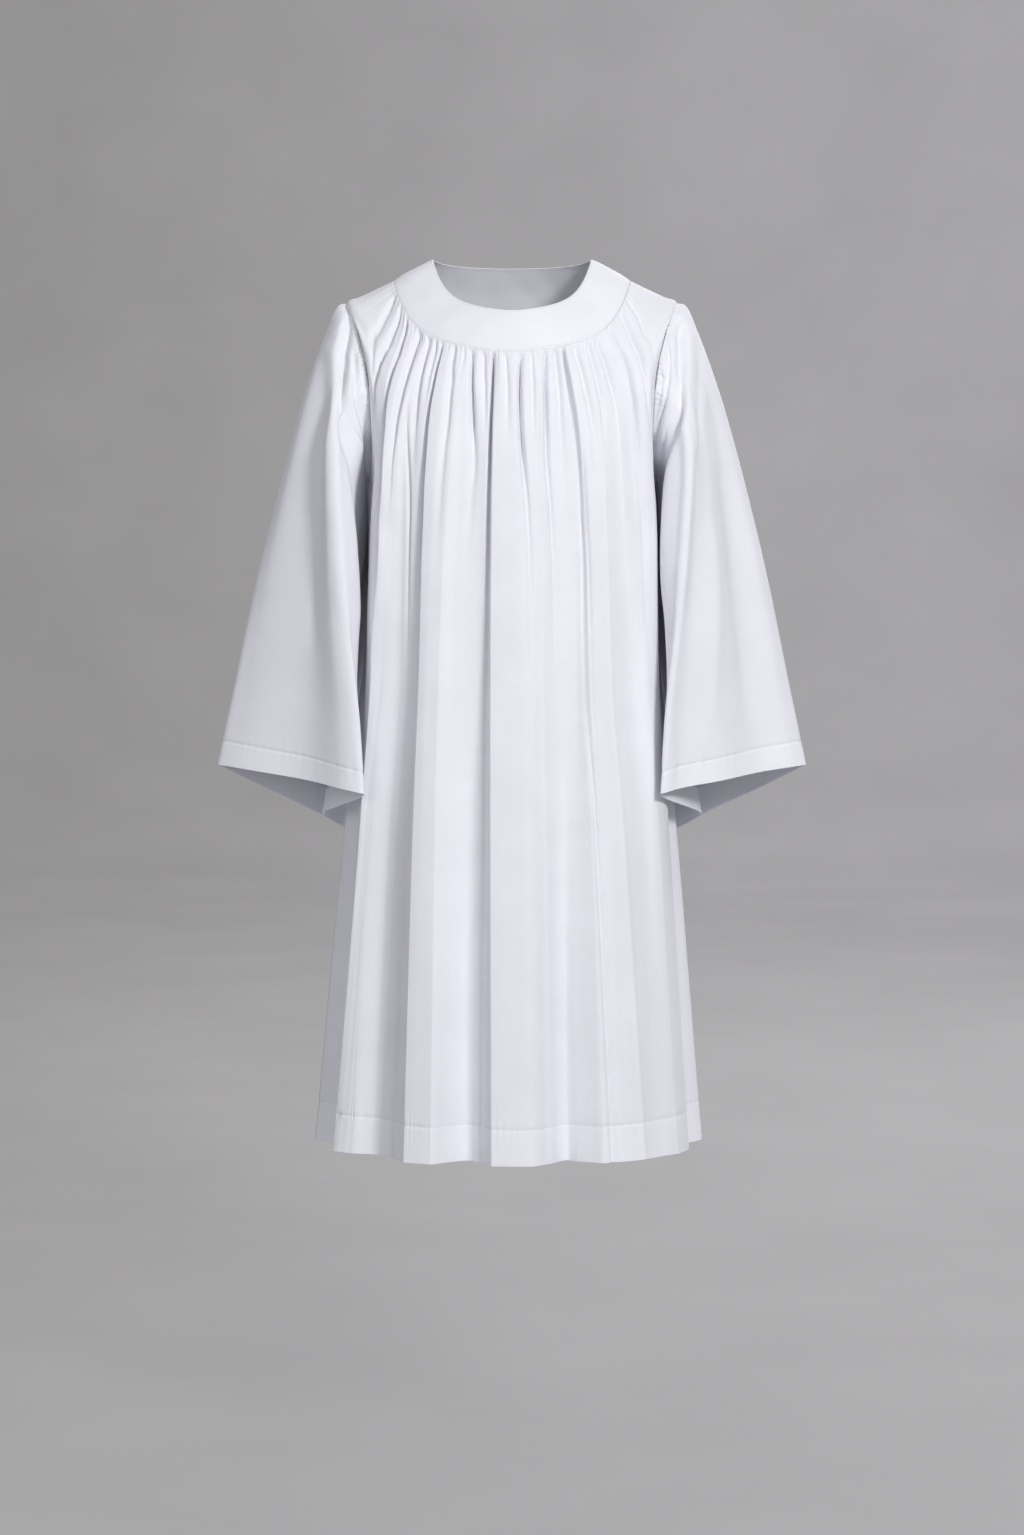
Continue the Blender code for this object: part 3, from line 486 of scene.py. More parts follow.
def outward(surface, half, angles, places):
    """The direction straight out of a surface."""
    step = 1e-4
    edge = math.pi / 2 - step
    inside = np.clip(angles, -edge, edge)
    across = surface(half, inside + step, places) - surface(half, inside - step, places)
    nearer = np.clip(np.asarray(places, float), step, 1 - step)
    down = surface(half, inside, nearer + step) - surface(half, inside, nearer - step)
    return unit(half.sign * np.cross(across, down))


def ripples(across, along, seed, count, cycles, reach, height):
    """A sum of soft waves, uneven but the same each time."""
    rng = np.random.default_rng(seed)
    total = np.zeros(np.broadcast(across, along).shape)
    for _ in range(count):
        turn, lift = rng.uniform(*cycles), rng.uniform(-reach, reach)
        phase = rng.uniform(0, 2 * math.pi)
        total += np.sin(2 * math.pi * (turn * across + lift * along) + phase)
    return total * height / math.sqrt(count)


def line_tables(half, falls):
    """Each fold line's angle and height at every fall."""
    angles = np.array([row[0] for row in half.lines], float).T
    heights = np.array([row[1] for row in half.lines], float).T * 0.001
    return curve_through(LINE_FALLS, angles, falls), curve_through(LINE_FALLS, heights, falls)


def drawn_angles(half, material, falls):
    """Where each thread of the panel lies at each fall, in degrees: it follows the fold lines."""
    paths, _ = line_tables(half, falls)
    start, _ = line_tables(half, [0.0])
    return np.array([np.interp(material, start[0], path) for path in paths])


def hanging_folds(half, degrees, falls):
    """Height of the hanging folds, smooth between the fold lines but for the sharp ones."""
    paths, heights = line_tables(half, falls)
    sharp = np.array([row[2] for row in half.lines], float)
    leaving, arriving = np.clip(-sharp, 0, 1), np.clip(sharp, 0, 1)
    result = np.zeros_like(degrees)
    for i in range(len(falls)):
        path, height = paths[i], heights[i]
        turn = slopes(path, height[:, None])[:, 0]
        rate = np.diff(height) / np.diff(path)
        start = turn[:-1] + leaving[:-1] * (1.4 * rate - turn[:-1])
        end = turn[1:] + arriving[1:] * (1.4 * rate - turn[1:])
        low = np.clip(np.searchsorted(path, degrees[i], side="right") - 1, 0, len(path) - 2)
        width = path[low + 1] - path[low]
        part = np.clip((degrees[i] - path[low]) / width, 0, 1)
        rise = smooth(part)
        bend = (1 - part) * start[low] - part * end[low]
        result[i] = height[low] * (1 - rise) + height[low + 1] * rise + width * part * (1 - part) * bend
    return result


def long_gathers(half, degrees, falls):
    """Height of the gathers that run on below the yoke seam."""
    result = np.zeros_like(degrees)
    spread = 1 + 0.5 * smooth(np.asarray(falls)[:, None] / 0.25)
    for angles, depths, lower, higher in half.grooves:
        rows = curve_through(GROOVE_FALLS, np.array([angles, depths], float).T, falls)
        away = degrees - rows[:, :1]
        width = np.where(away < 0, lower, higher) * spread + 0.15
        result -= rows[:, 1:] * GROOVE_DEPTH * np.exp(-(away / width) ** 2)
    return result


def shown(half, degrees, falls, heights):
    """How far to the side points raised above a panel are seen from the front."""
    angles = np.radians(degrees)
    raised = outward(body_surface, half, angles, falls) * heights[..., None]
    places = body_surface(half, angles, falls) + raised
    return places[..., 0] / (places[..., 1] + CAMERA_DISTANCE)


def standing(half, seen, falls, height):
    """The angles at which a fold stands, from those at which it is seen and its height."""
    seen = np.array(seen, float)[:, None]
    goal = shown(half, seen, falls, np.full_like(seen, SEEN_HEIGHT))
    degrees = seen.copy()
    rounds, step, longest_move = 30, 0.3, 1.5
    for _ in range(rounds):
        heights = height(degrees) + WALL
        higher = shown(half, degrees + step, falls, heights)
        lower = shown(half, degrees - step, falls, heights)
        missing = (goal - shown(half, degrees, falls, heights)) * 2 * step / (higher - lower)
        degrees += np.clip(missing, -longest_move, longest_move) / 2
    return degrees[:, 0]


def standing_lines(half, rows):
    """The rows of fold lines with the angles at which they stand."""
    lines = []
    for placing, angles, heights, sharp in reversed(rows):
        if placing == SEEN:
            raised = np.array(heights)[:, None] * 0.001
            angles = standing(half, angles, LINE_FALLS, lambda degrees: raised)
        elif placing == BEFORE:
            angles = np.array(lines[-1][0]) - angles
        lines.append((angles, heights, sharp))
    return lines[::-1]


def standing_grooves(half, rows):
    """The rows of long gathers with the angles at which they stand."""
    grooves = []
    for placing, angles, depths, *widths in rows:
        if placing == SEEN:
            sunk = SEEN_DEPTH_SHARE * GROOVE_DEPTH * np.array(depths)[:, None]
            angles = standing(
                half, angles, GROOVE_FALLS,
                lambda degrees: hanging_folds(half, degrees, GROOVE_FALLS) - sunk,
            )
        grooves.append((angles, depths, *widths))
    return grooves


def run_in(angles):
    """Angles above the last ones given, for a line of the back that runs in to the yoke."""
    first = angles[0]
    if abs(first) == 90:
        return (first,) * len(RUN_IN) + tuple(angles)
    return tuple(first * share for share in RUN_IN) + tuple(angles)


FRONT = Half("front", -1, 11)
FRONT.lines = standing_lines(FRONT, FRONT_LINES)
FRONT.grooves = standing_grooves(FRONT, FRONT_GROOVES)
BACK = Half("back", 1, 23)
BACK.lines = [(run_in(angles), heights, sharp) for angles, heights, sharp in BACK_LINES]
BACK.grooves = [(run_in((angle, angle)), *rest) for angle, *rest in BACK_GROOVES]


def gathered(count, steps, falls, seed, longest):
    """Fine gathers below a seam: rounded ridges with narrow valleys, each with its own length."""
    rng = np.random.default_rng(seed)
    place = np.arange(count * steps + 1) / steps
    which = np.minimum(place.astype(int), count - 1)
    ridge = np.abs(np.sin(math.pi * place)) ** 0.75
    size = rng.uniform(0.55, 1.0, count)[which]
    reach = rng.uniform(0.25, 1.0, count)[which] * longest
    falls = np.asarray(falls, float)[:, None]
    fine = size * (ridge - 0.5) * np.exp(-falls / reach)
    merged = rng.permutation(np.arange(1, count))[: count * 2 // 5]
    wide = np.zeros_like(fine)
    for valley in merged:
        depth, run = rng.uniform(0.35, 1.0), rng.uniform(0.8, 2.6) * longest
        spread = 0.55 + 12 * falls
        wide -= depth * np.exp(-((place - valley) / spread) ** 2) * np.exp(-(falls / run) ** 1.5)
    return fine, wide * np.clip(falls / 0.01, 0, 1)


def spaced(stops, steps, ends):
    """Rows of a mesh from stop to stop, each stretch in its own number of even steps, and the ends."""
    parts = [np.linspace(a, b, n + 1)[:-1] for a, b, n in zip(stops, stops[1:], steps)]
    return np.concatenate(parts + [[stops[-1], *ends]])


def body_falls():
    stops = (0.0003, 0.012, 0.06, 0.30, HEM_FALL - 0.010, HEM_FALL + 0.010, 0.9985)
    return spaced(stops, (8, 12, 30, 45, 14, 6), (0.9995, 1.0))


def sleeve_shares():
    stops = (0.004, 0.06, 0.30, CUFF_SHARE - 0.014, CUFF_SHARE + 0.014, 0.998)
    return spaced(stops, (16, 36, 39, 12, 5), (0.9993, 1.0))


def hem_shape(across, along, line, scale, seed):
    """A turned-up hem seen from outside: the stitched line draws in, with small puckers beside it."""
    off = (along - line) * scale
    draw = -STITCH_DIP * np.exp(-(off / STITCH_DIP_WIDTH) ** 2)
    pucker = ripples(across, along * 0, seed, 9, (40, 150), 0, PUCKER)
    fade = np.where(off > 0, np.exp(-np.abs(off) / 0.016), np.exp(-np.abs(off) / 0.012))
    return draw + pucker * fade


def crowded_shares(half, steps):
    """Places across a panel from -1 to 1, closer together beside the sharp fold lines."""
    even = np.linspace(-1, 1, 4001)
    crowd = np.ones_like(even)
    for angles, _, sharp in half.lines:
        if sharp:
            crowd += CROWDING * abs(sharp) * np.exp(-((even * 90 - angles[0]) / CROWD_DEGREES) ** 2)
    reached = np.concatenate([[0.0], np.cumsum(crowd[1:] + crowd[:-1])])
    return np.interp(np.linspace(0, reached[-1], steps + 1), reached, even)


def body_panel(half):
    """The front or back panel, gathered onto the yoke."""
    falls = body_falls()
    steps = PANEL_GATHERS * GATHER_STEPS
    share = crowded_shares(half, steps)
    material = share * 90
    degrees = drawn_angles(half, material, falls)
    angles = np.radians(degrees)
    base = body_surface(half, angles, falls)
    normal = outward(body_surface, half, angles, falls)
    seam = unit(outward(yoke_surface, half, angles[:1], [1.0]) + normal[:1])
    near = np.exp(-falls / 0.012)[:, None, None]
    normal = unit(normal * (1 - near) + seam * near)
    edge = np.abs(degrees) / 90
    armhole = (falls >= SHOULDER_FALL) & (falls <= UNDERARM_FALL)
    weight = armhole[:, None, None] * edge[..., None] ** 16
    sideways = np.stack([np.sign(angles), 0 * angles, 0 * angles], axis=-1)
    normal = unit(normal * (1 - weight) + sideways * weight)

    held = 1 - np.clip((falls - UNDERARM_FALL) / (FREE_FALL - UNDERARM_FALL), 0, 1)[:, None]
    height = hanging_folds(half, degrees, falls) * (1 - held * edge ** 6)
    inner_part = 1 - edge ** 12
    height += long_gathers(half, degrees, falls) * inner_part * smooth(falls / 0.008)[:, None]
    fine, wide = gathered(PANEL_GATHERS, GATHER_STEPS, falls, half.seed, GATHER_RUN)
    start = (0.4 + 0.6 * smooth(falls / 0.006))[:, None]
    height += (FINE_GATHER * fine + MERGED_GATHER * wide) * start * inner_part
    across, along = np.broadcast_arrays(share[None, :] / 2, falls[:, None])
    soft = smooth((along - 0.02) / 0.2) * (1 - held * edge ** 6)
    height += ripples(across, along, half.seed + 1, 10, (4, 12), 0.8, 0.0006) * soft
    height += ripples(across, along, half.seed + 2, 14, (14, 42), 3.0, 0.00009) * soft
    height += hem_shape(across, along, HEM_FALL, BODY_LENGTH, half.seed + 3)

    from_edge = (1 - edge) * math.pi / 2 * 0.2
    seam_dip = SEAM_DIP * np.exp(-(from_edge / 0.006) ** 2) * smooth((along - 0.03) / 0.03)
    outer = base + normal * (height + WALL - seam_dip)[..., None]
    thick = np.where(along > HEM_FALL, HEM_CLOTH, CLOTH)
    closing = np.exp(-falls * BODY_LENGTH / 0.003)[:, None] + np.exp(-(from_edge / 0.002) ** 2)
    thick = thick + (WALL - seam_dip - thick) * np.clip(closing, 0, 1)
    thick[-1] *= 0.3
    inner = outer - normal * thick[..., None]
    uv = np.stack([across * BODY_CUT[0], 1 - along * BODY_LENGTH], axis=-1)
    return cloth_mesh("cloth_body_" + half.name, outer, inner, uv, False)


def yoke_panel(half):
    """The front or back half of the flat yoke."""
    shares = np.concatenate([
        [0.0, 0.006, 0.02, 0.04], np.linspace(0.07, 0.93, 26), [0.96, 0.98, 0.994, 1.0],
    ])
    angles = np.linspace(-math.pi / 2, math.pi / 2, 181)
    grid = np.broadcast_to(angles, (len(shares), len(angles)))
    base = yoke_surface(half, grid, shares)
    normal = outward(yoke_surface, half, grid, shares)
    seam = unit(normal[-1:] + outward(body_surface, half, grid[-1:], [0.0]))
    near = smooth((shares - 0.8) / 0.2)[:, None, None]
    normal = unit(normal * (1 - near) + seam * near)
    across, along = np.broadcast_arrays((angles / math.pi)[None, :], shares[:, None])
    lie = np.sin(math.pi * np.clip(along, 0, 1))
    height = ripples(across, along, half.seed + 4, 9, (3, 9), 1.2, 0.00045) * lie
    height += ripples(across, along, half.seed + 5, 9, (20, 34), 0.4, 0.00020) * along ** 6
    edge = np.minimum(along, 1 - along) * YOKE_DEPTH
    height -= 0.00035 * np.exp(-((edge - YOKE_STITCH_INSET) / 0.0009) ** 2)
    height -= 0.0006 * np.exp(-(edge / 0.0006) ** 2)
    outer = base + normal * (height + YOKE_WALL)[..., None]
    closing = np.clip(np.exp(-((1 - along) * YOKE_DEPTH / 0.004) ** 2), 0, 1)
    thick = YOKE_CLOTH + (YOKE_WALL - 0.0006 - YOKE_CLOTH) * closing
    inner = outer - normal * thick[..., None]
    uv = np.stack([across * YOKE_WIDTH, 1 - along * YOKE_DEPTH], axis=-1)
    return cloth_mesh("cloth_yoke_" + half.name, outer, inner, uv, False)


def armhole_line(turns):
    """The armhole's edge, in turns from its top through the front."""
    side = np.full((len(ARMHOLE_FALLS), 1), math.pi / 2)
    front = body_surface(FRONT, side, ARMHOLE_FALLS)[:, 0]
    back = body_surface(BACK, side, ARMHOLE_FALLS)[:, 0]
    front[0, 1] = front[-1, 1] = back[0, 1] = back[-1, 1] = 0.0
    loop = np.concatenate([front, back[-2::-1]])
    count = len(ARMHOLE_FALLS)
    share = np.concatenate([np.linspace(0, 0.5, count), np.linspace(0.5, 1, count)[1:]])
    return np.stack([np.interp(turns, share, loop[:, i]) for i in range(3)], axis=-1)


def sleeve_curves(turns, shares):
    """Closed curves through the four corners of each sleeve section."""
    row = sample(SLEEVE_SECTIONS, SLEEVE_COLUMNS, shares)
    flat = 0 * row["over_x"]
    points = [
        np.hstack([row["over_x"], flat, row["over_z"]]),
        np.hstack([row["fore_x"], row["fore_y"], row["fore_z"]]),
        np.hstack([row["under_x"], flat, row["under_z"]]),
        np.hstack([row["aft_x"], row["aft_y"], row["aft_z"]]),
    ]
    rounds = [row["over_round"], FORE_ROUND, UNDER_ROUND, FORE_ROUND]
    tangents = [rounds[i] * (points[(i + 1) % 4] - points[i - 1]) / 2 for i in range(4)]
    quarter = (np.floor(turns * 4).astype(int)) % 4
    part = (turns * 4) % 1.0
    curve = np.zeros((len(shares), len(turns), 3))
    for i in range(4):
        here = np.nonzero(quarter == i)[0]
        p = part[here][None, :, None]
        rise = smooth(p)
        start, end = points[i][:, None], points[(i + 1) % 4][:, None]
        go, come = tangents[i][:, None], tangents[(i + 1) % 4][:, None]
        curve[:, here] = start * (1 - rise) + end * rise + p * (1 - p) * ((1 - p) * go - p * come)
    return curve


def sleeve_surface(turns, shares):
    """The bare form of the left sleeve, which starts from the armhole's edge."""
    shares = np.asarray(shares, float)
    curve = sleeve_curves(turns, shares)
    start = armhole_line(turns % 1.0) - sleeve_curves(turns, [0.0])[0]
    blend = np.clip(1 - shares / ARMHOLE_BLEND, 0, 1)[:, None, None] ** 2
    return curve + start[None] * blend


def sleeve_outward(turns, shares):
    """The direction straight out of a sleeve."""
    step = 1e-3
    around = sleeve_surface(turns + step, shares) - sleeve_surface(turns - step, shares)
    nearer = np.clip(np.asarray(shares, float), 0, 1 - step)
    down = sleeve_surface(turns, nearer + step) - sleeve_surface(turns, nearer)
    return unit(np.cross(around, down))


def sleeve_folds(turns, shares, folds):
    """Height of the large folds round a sleeve."""
    table = np.array(folds, float)
    spots = np.concatenate([table[-1:, 0] - 1, table[:, 0], table[:1, 0] + 1])
    place = turns % 1.0
    low = np.clip(np.searchsorted(spots, place, side="right") - 1, 0, len(spots) - 2)
    rise = smooth((place - spots[low]) / (spots[low + 1] - spots[low]))
    rows = []
    for share in shares:
        heights = np.array([np.interp(share, SLEEVE_FOLD_SHARES, row) for row in table[:, 1:]])
        heights = np.concatenate([heights[-1:], heights, heights[:1]])
        rows.append(heights[low] * (1 - rise) + heights[low + 1] * rise)
    return np.array(rows)


def creases(points, rows, facing):
    """Creases hanging down one face of a sleeve; facing is 1 on that face and 0 on the other."""
    x, z = points[..., 0], points[..., 2]
    total = np.zeros_like(x)
    for height, inner, outer, line in rows:
        spots = np.array(line)
        drop = -spots[:, 1]
        away = x - np.interp(-z, drop, spots[:, 0])
        width = np.where(away < 0, inner, outer)
        into = smooth((-z - drop[0] + 0.012) / 0.024) * smooth((drop[-1] + 0.03 + z) / 0.06)
        total += height * 0.001 * np.exp(-(away / width) ** 2) * into * facing
    return total


def sleeve(name, side, folds, front_rows, back_rows, seed):
    """A bell sleeve, gathered at the cap; side is 1 for the left one and -1 for the right one."""
    shares = sleeve_shares()
    cap = np.linspace(-CAP_TURN, CAP_TURN, CAP_GATHERS * CAP_STEPS + 1)
    turns = np.concatenate([
        cap, np.linspace(CAP_TURN, 0.45, 27)[1:], np.linspace(0.45, 1 - CAP_TURN, 24)[1:-1],
    ])
    base = sleeve_surface(turns, shares)
    normal = sleeve_outward(turns, shares)
    start = armhole_line(turns % 1.0)
    step = 1e-3
    around = armhole_line((turns + step) % 1.0) - armhole_line((turns - step) % 1.0)
    inward = -unit(np.cross(around, [1.0, 0.0, 0.0]))
    near = np.exp(-shares / 0.012)[:, None, None]
    normal = unit(normal * (1 - near) - inward[None] * near)

    height = sleeve_folds(turns, shares, folds)
    across, along = np.broadcast_arrays(turns[None, :], shares[:, None])
    front = smooth(-base[..., 1] / 0.03)
    back = smooth(base[..., 1] / 0.03)
    spread = smooth(along / 0.03)
    height += creases(base, front_rows, front) * spread
    height += creases(base, back_rows, back) * spread * 0.8
    fine, wide = gathered(CAP_GATHERS, CAP_STEPS, shares, seed, CAP_RUN)
    ends = 1 - (np.abs(cap) / CAP_TURN) ** 8
    fine, wide = fine * ends, wide * ends
    height += SLEEVE_PUFF * smooth(along / 0.006)
    low = np.zeros((len(shares), len(turns) - len(cap)))
    rise = (0.3 + 0.7 * smooth(shares / 0.012))[:, None]
    height += np.hstack([FINE_CAP_GATHER * fine + MERGED_CAP_GATHER * wide, low]) * rise
    soft = smooth((along - 0.05) / 0.3)
    from_corner = np.min([np.abs(across - corner) for corner in UNDERARM_CORNERS], axis=0)
    fullness = smooth(along / 0.08) * (1 - smooth((along - 0.35) / 0.4))
    height += UNDERARM_FULLNESS * np.exp(-(from_corner / 0.06) ** 2) * fullness
    around_waves = ripples(np.sin(2 * math.pi * across) / 6, along, seed + 2, 12, (3, 14), 1.5, 0.0007)
    height += around_waves * soft
    height += hem_shape(np.sin(2 * math.pi * across) / 4, along, CUFF_SHARE, SLEEVE_LENGTH, seed + 3)

    outer = base + normal * height[..., None]
    thick = np.where(along > CUFF_SHARE, HEM_CLOTH, CLOTH)
    closing = np.exp(-along * SLEEVE_LENGTH / 0.006)
    thick = thick + (WALL - thick) * closing
    thick[-1] *= 0.3
    inner = outer - normal * thick[..., None]
    edge = start + inward * SEAM_GAP
    for reach in (0.003, SEAM_GAP):
        row = edge + np.array([reach, 0.0, 0.0])
        outer = np.concatenate([row[None], outer])
        inner = np.concatenate([(row + inward * WALL)[None], inner])
    shares = np.concatenate([[-0.004, 0.0], shares])
    across, along = np.broadcast_arrays(turns[None, :], shares[:, None])
    uv = np.stack([across * SLEEVE_CUT[0], 1 - along * SLEEVE_LENGTH], axis=-1)
    mirror = np.array([side, 1.0, 1.0])
    return cloth_mesh(name, outer * mirror, inner * mirror, uv, True)


def cloth_mesh(name, outer, inner, uv, closed):
    """A thin shell of cloth from its outer and inner grids of points."""
    rows, columns = outer.shape[:2]
    count = rows * columns
    points = np.concatenate([outer.reshape(-1, 3), inner.reshape(-1, 3)])
    last = columns if closed else columns - 1
    across = np.arange(last)
    beside = (across + 1) % columns
    faces = []
    for i in range(rows - 1):
        a, b = i * columns + across, i * columns + beside
        c, d = b + columns, a + columns
        faces.append(np.stack([a, d, c, b], axis=1))
        faces.append(np.stack([a, b, c, d], axis=1) + count)
    top, under = across, (rows - 1) * columns + across
    top_next, under_next = beside, (rows - 1) * columns + beside
    faces.append(np.stack([top, top_next, top_next + count, top + count], axis=1))
    faces.append(np.stack([under_next, under, under + count, under_next + count], axis=1))
    if not closed:
        down = np.arange(rows - 1) * columns
        right = down + columns - 1
        faces.append(np.stack([down, down + count, down + count + columns, down + columns], axis=1))
        faces.append(np.stack([right, right + columns, right + count + columns, right + count], axis=1))
    faces = np.concatenate(faces)
    mesh = bpy.data.meshes.new(name)
    mesh.from_pydata(points.tolist(), [], faces.tolist())
    flat = np.concatenate([uv.reshape(-1, 2)] * 2)
    spots = flat[faces.reshape(-1)]
    if closed:
        width = uv[..., 0].max() - uv[..., 0].min()
        wrapped = spots.reshape(-1, 4, 2)
        low = wrapped[..., 0].max(axis=1, keepdims=True) - wrapped[..., 0] > width / 2
        wrapped[..., 0] = np.where(low, wrapped[..., 0] + SLEEVE_CUT[0], wrapped[..., 0])
        spots = wrapped.reshape(-1, 2)
    layer = mesh.uv_layers.new(name="cloth")
    layer.data.foreach_set("uv", spots.astype(np.float32).reshape(-1))
    mesh.validate()
    if signed_volume(points, faces) < 0:
        mesh.flip_normals()
    mesh.shade_smooth()
    item = bpy.data.objects.new(name, mesh)
    bpy.context.scene.collection.objects.link(item)
    return item


def signed_volume(points, faces):
    """Six times the volume inside the faces, below zero where they face inward."""
    a, b, c, d = (points[faces[:, i]] for i in range(4))
    return float((a * np.cross(b, c)).sum() + (a * np.cross(c, d)).sum())


class Nodes:
    """A small helper to wire a material."""

    def __init__(self, name):
        self.material = bpy.data.materials.new(name)
        self.material.use_nodes = True
        self.tree = self.material.node_tree
        self.surface = self.tree.nodes["Principled BSDF"]

    def add(self, kind, **settings):
        node = self.tree.nodes.new(kind)
        for key, value in settings.items():
            setattr(node, key, value)
        return node

    def put(self, socket, value):
        if isinstance(value, bpy.types.NodeSocket):
            self.tree.links.new(value, socket)
        else:
            socket.default_value = value

    def math(self, operation, *values):
        node = self.add("ShaderNodeMath", operation=operation)
        for socket, value in zip(node.inputs, values):
            self.put(socket, value)
        return node.outputs[0]

    def mix(self, factor, first, second, blend="MIX"):
        node = self.add("ShaderNodeMix", data_type="RGBA", blend_type=blend)
        self.put(node.inputs["Factor"], factor)
        colours = [socket for socket in node.inputs if socket.type == "RGBA"]
        self.put(colours[0], first)
        self.put(colours[1], second)
        return next(socket for socket in node.outputs if socket.type == "RGBA")

    def noise(self, vector, scale, detail):
        node = self.add("ShaderNodeTexNoise")
        self.put(node.inputs["Vector"], vector)
        node.inputs["Scale"].default_value = scale
        node.inputs["Detail"].default_value = detail
        return node.outputs[0]


def white_cloth(name, colour, hem_painted_light_colour, hem_line, stitch_lines):
    """Plain-woven white poly-cotton; u runs across and v down the cut piece, in metres."""
    n = Nodes(name)
    uv = n.add("ShaderNodeUVMap", uv_map="cloth").outputs[0]
    parts = n.add("ShaderNodeSeparateXYZ")
    n.put(parts.inputs[0], uv)
    across = parts.outputs[0]
    down = n.math("SUBTRACT", 1.0, parts.outputs[1])

    stretched = n.add("ShaderNodeMapping")
    n.put(stretched.inputs["Vector"], uv)
    stretched.inputs["Scale"].default_value = (1.0, 0.06, 1.0)
    slub = n.noise(stretched.outputs[0], 900, 2)
    cloud = n.noise(uv, 14, 3)

    warp = n.math("SINE", n.math("MULTIPLY", across, 2 * math.pi / THREAD_PITCH))
    weft = n.math("SINE", n.math("MULTIPLY", down, 2 * math.pi / THREAD_PITCH))
    weave = n.math("MULTIPLY", warp, weft)

    # below the hem line the tone is painted lighter, standing in for less shade showing through the
    # doubled cloth
    in_hem = n.math("GREATER_THAN", down, hem_line)
    tone = n.mix(in_hem, (*colour, 1), (*hem_painted_light_colour, 1))
    shade = n.math("MULTIPLY", n.math("SUBTRACT", cloud, 0.5), 0.10)
    shade = n.math("ADD", shade, n.math("MULTIPLY", n.math("SUBTRACT", slub, 0.5), 0.05))
    shade = n.math("ADD", shade, n.math("MULTIPLY", weave, 0.012))
    bright = n.add("ShaderNodeHueSaturation")
    n.put(bright.inputs["Color"], tone)
    n.put(bright.inputs["Value"], n.math("ADD", shade, 1.0))
    tone = bright.outputs[0]

    stitches = 0.0
    for line in stitch_lines:
        off = n.math("ABSOLUTE", n.math("SUBTRACT", down, line))
        on_line = n.math("LESS_THAN", off, STITCH_HALF_WIDTH)
        place = n.math("FRACT", n.math("DIVIDE", across, STITCH_PITCH))
        dash = n.math("LESS_THAN", place, STITCH_SHARE)
        stitches = n.math("ADD", stitches, n.math("MULTIPLY", on_line, dash))
    tone = n.mix(stitches, tone, STITCH_COLOUR)
    n.put(n.surface.inputs["Base Color"], tone)
    roughness = n.math("ADD", n.math("MULTIPLY", slub, 0.12), 0.66)
    n.put(n.surface.inputs["Roughness"], roughness)
    n.surface.inputs["Specular IOR Level"].default_value = 0.30
    n.surface.inputs["Sheen Weight"].default_value = 0.12
    n.surface.inputs["Sheen Roughness"].default_value = 0.45

    relief = n.math("MULTIPLY", weave, 0.000030)
    relief = n.math("ADD", relief, n.math("MULTIPLY", slub, 0.00006))
    relief = n.math("ADD", relief, n.math("MULTIPLY", stitches, 0.00018))
    bump = n.add("ShaderNodeBump")
    bump.inputs["Strength"].default_value = 0.6
    bump.inputs["Distance"].default_value = 1.0
    n.put(bump.inputs["Height"], relief)
    n.put(n.surface.inputs["Normal"], bump.outputs[0])
    return n.material


def dress(item, node, material):
    """Give a piece of cloth its material and its place in the frame, and hide the solid part it stands
    for.
    """
    item.data.materials.append(material)
    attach(item, "root")
    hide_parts(node)


def garment():
    body_stitches = HEM_FALL * BODY_LENGTH
    cuff_stitches = CUFF_SHARE * SLEEVE_LENGTH
    yoke_stitches = (YOKE_STITCH_INSET, YOKE_DEPTH - YOKE_STITCH_INSET)
    body_cloth = white_cloth("body_cloth", CLOTH_COLOUR, HEM_PAINTED_LIGHT_COLOUR, body_stitches, (body_stitches,))
    sleeve_cloth = white_cloth("sleeve_cloth", CLOTH_COLOUR, HEM_PAINTED_LIGHT_COLOUR, cuff_stitches, (cuff_stitches,))
    yoke_cloth = white_cloth("yoke_cloth", YOKE_COLOUR, YOKE_COLOUR, 1.0, yoke_stitches)
    for half in (FRONT, BACK):
        dress(body_panel(half), "body_" + half.name, body_cloth)
        dress(yoke_panel(half), "yoke_" + half.name, yoke_cloth)
    for name, side, folds, front_rows, back_rows, seed in (
        ("sleeve_left", 1.0, LEFT_SLEEVE_FOLDS, LEFT_CREASES, RIGHT_CREASES, 37),
        ("sleeve_right", -1.0, RIGHT_SLEEVE_FOLDS, RIGHT_CREASES, LEFT_CREASES, 53),
    ):
        item = sleeve("cloth_" + name, side, folds, front_rows, back_rows, seed)
        dress(item, name, sleeve_cloth)


def sweep_mesh():
    """A floor that curves up into a wall all round."""
    foot = STUDIO_RADIUS - SWEEP_CURVE
    profile = [(0.0, 0.0), (2.0, 0.0), (4.0, 0.0), (foot, 0.0)]
    for i in range(1, 13):
        a = math.pi / 2 * i / 12
        profile.append((foot + SWEEP_CURVE * math.sin(a), SWEEP_CURVE - SWEEP_CURVE * math.cos(a)))
    profile.append((STUDIO_RADIUS, STUDIO_HEIGHT))
    around = 96
    points, faces = [], []
    for radius, rise in profile:
        for i in range(around):
            a = 2 * math.pi * i / around
            points.append((radius * math.cos(a), radius * math.sin(a), FLOOR_Z + rise))
    for j in range(len(profile) - 1):
        for i in range(around):
            a, b = j * around + i, j * around + (i + 1) % around
            faces.append((a, b, b + around, a + around))
    mesh = bpy.data.meshes.new("studio_sweep")
    mesh.from_pydata(points, [], faces)
    mesh.shade_smooth()
    return mesh


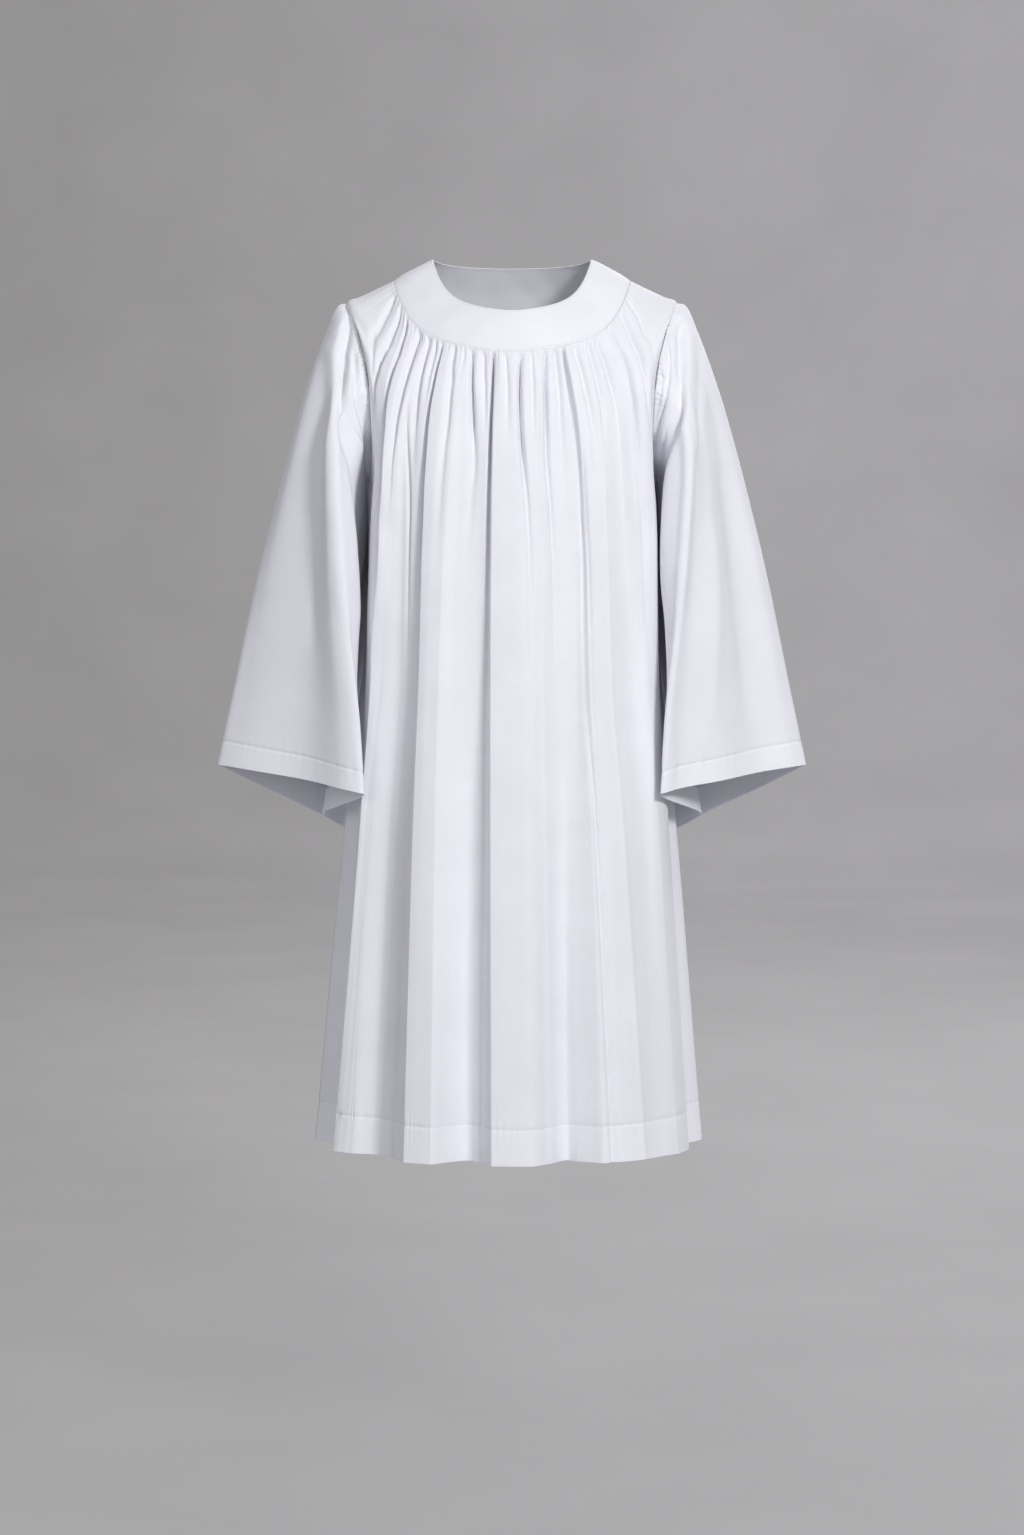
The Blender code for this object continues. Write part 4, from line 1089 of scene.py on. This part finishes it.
def studio_paper():
    """Mottled grey paper that shines by itself, with painted light a little darker on the left."""
    n = Nodes("studio_paper")
    where = n.add("ShaderNodeTexCoord").outputs["Object"]
    parts = n.add("ShaderNodeSeparateXYZ")
    n.put(parts.inputs[0], where)
    side = n.add("ShaderNodeMapRange", interpolation_type="SMOOTHSTEP")
    n.put(side.inputs["Value"], parts.outputs[0])
    side.inputs["From Min"].default_value, side.inputs["From Max"].default_value = STUDIO_LIGHT_FROM_X
    light = n.mix(side.outputs[0], STUDIO_LEFT_LIGHT, STUDIO_RIGHT_LIGHT)
    mottle = n.mix(n.noise(where, 2.2, 5), (0.90, 0.90, 0.90, 1), (1.10, 1.10, 1.10, 1))
    n.put(n.surface.inputs["Emission Color"], n.mix(1.0, light, mottle, "MULTIPLY"))
    n.surface.inputs["Emission Strength"].default_value = 1.0
    n.surface.inputs["Base Color"].default_value = STUDIO_COLOUR
    n.surface.inputs["Roughness"].default_value = 0.95
    n.surface.inputs["Specular IOR Level"].default_value = 0.1
    return n.material


def studio():
    """A seamless pale sweep that neither lights nor shades the garment."""
    sweep = bpy.data.objects.new("studio_sweep", sweep_mesh())
    bpy.context.scene.collection.objects.link(sweep)
    sweep.data.materials.append(studio_paper())
    sweep.visible_shadow = False
    sweep.visible_diffuse = False
    sweep.visible_glossy = False


def lighting():
    """Soft daylight from all round, and three lamps."""
    world = bpy.data.worlds.new("studio_light")
    bpy.context.scene.world = world
    world.use_nodes = True
    background = world.node_tree.nodes["Background"]
    background.inputs["Color"].default_value = WORLD_LIGHT
    background.inputs["Strength"].default_value = WORLD_STRENGTH
    for name, (place, size, power) in LAMPS.items():
        light = bpy.data.lights.new(name, "AREA")
        light.shape = "RECTANGLE"
        light.size, light.size_y = size
        light.energy = power
        item = bpy.data.objects.new(name, light)
        bpy.context.scene.collection.objects.link(item)
        item.location = place
        item.rotation_euler = (Vector(LAMPS_AIM) - Vector(place)).to_track_quat("-Z", "Y").to_euler()


def camera():
    data = bpy.data.cameras.new("camera")
    data.sensor_width = SENSOR
    data.lens = FOCAL_SHARE * SENSOR
    item = bpy.data.objects.new("camera", data)
    bpy.context.scene.collection.objects.link(item)
    item.location = (0.0, -CAMERA_DISTANCE, CAMERA_Z)
    aim = Vector((0.0, 0.0, CAMERA_AIM_Z)) - item.location
    item.rotation_euler = aim.to_track_quat("-Z", "Y").to_euler()
    bpy.context.scene.camera = item


camera()
garment()
studio()
lighting()
bpy.context.scene.view_settings.view_transform = "Standard"
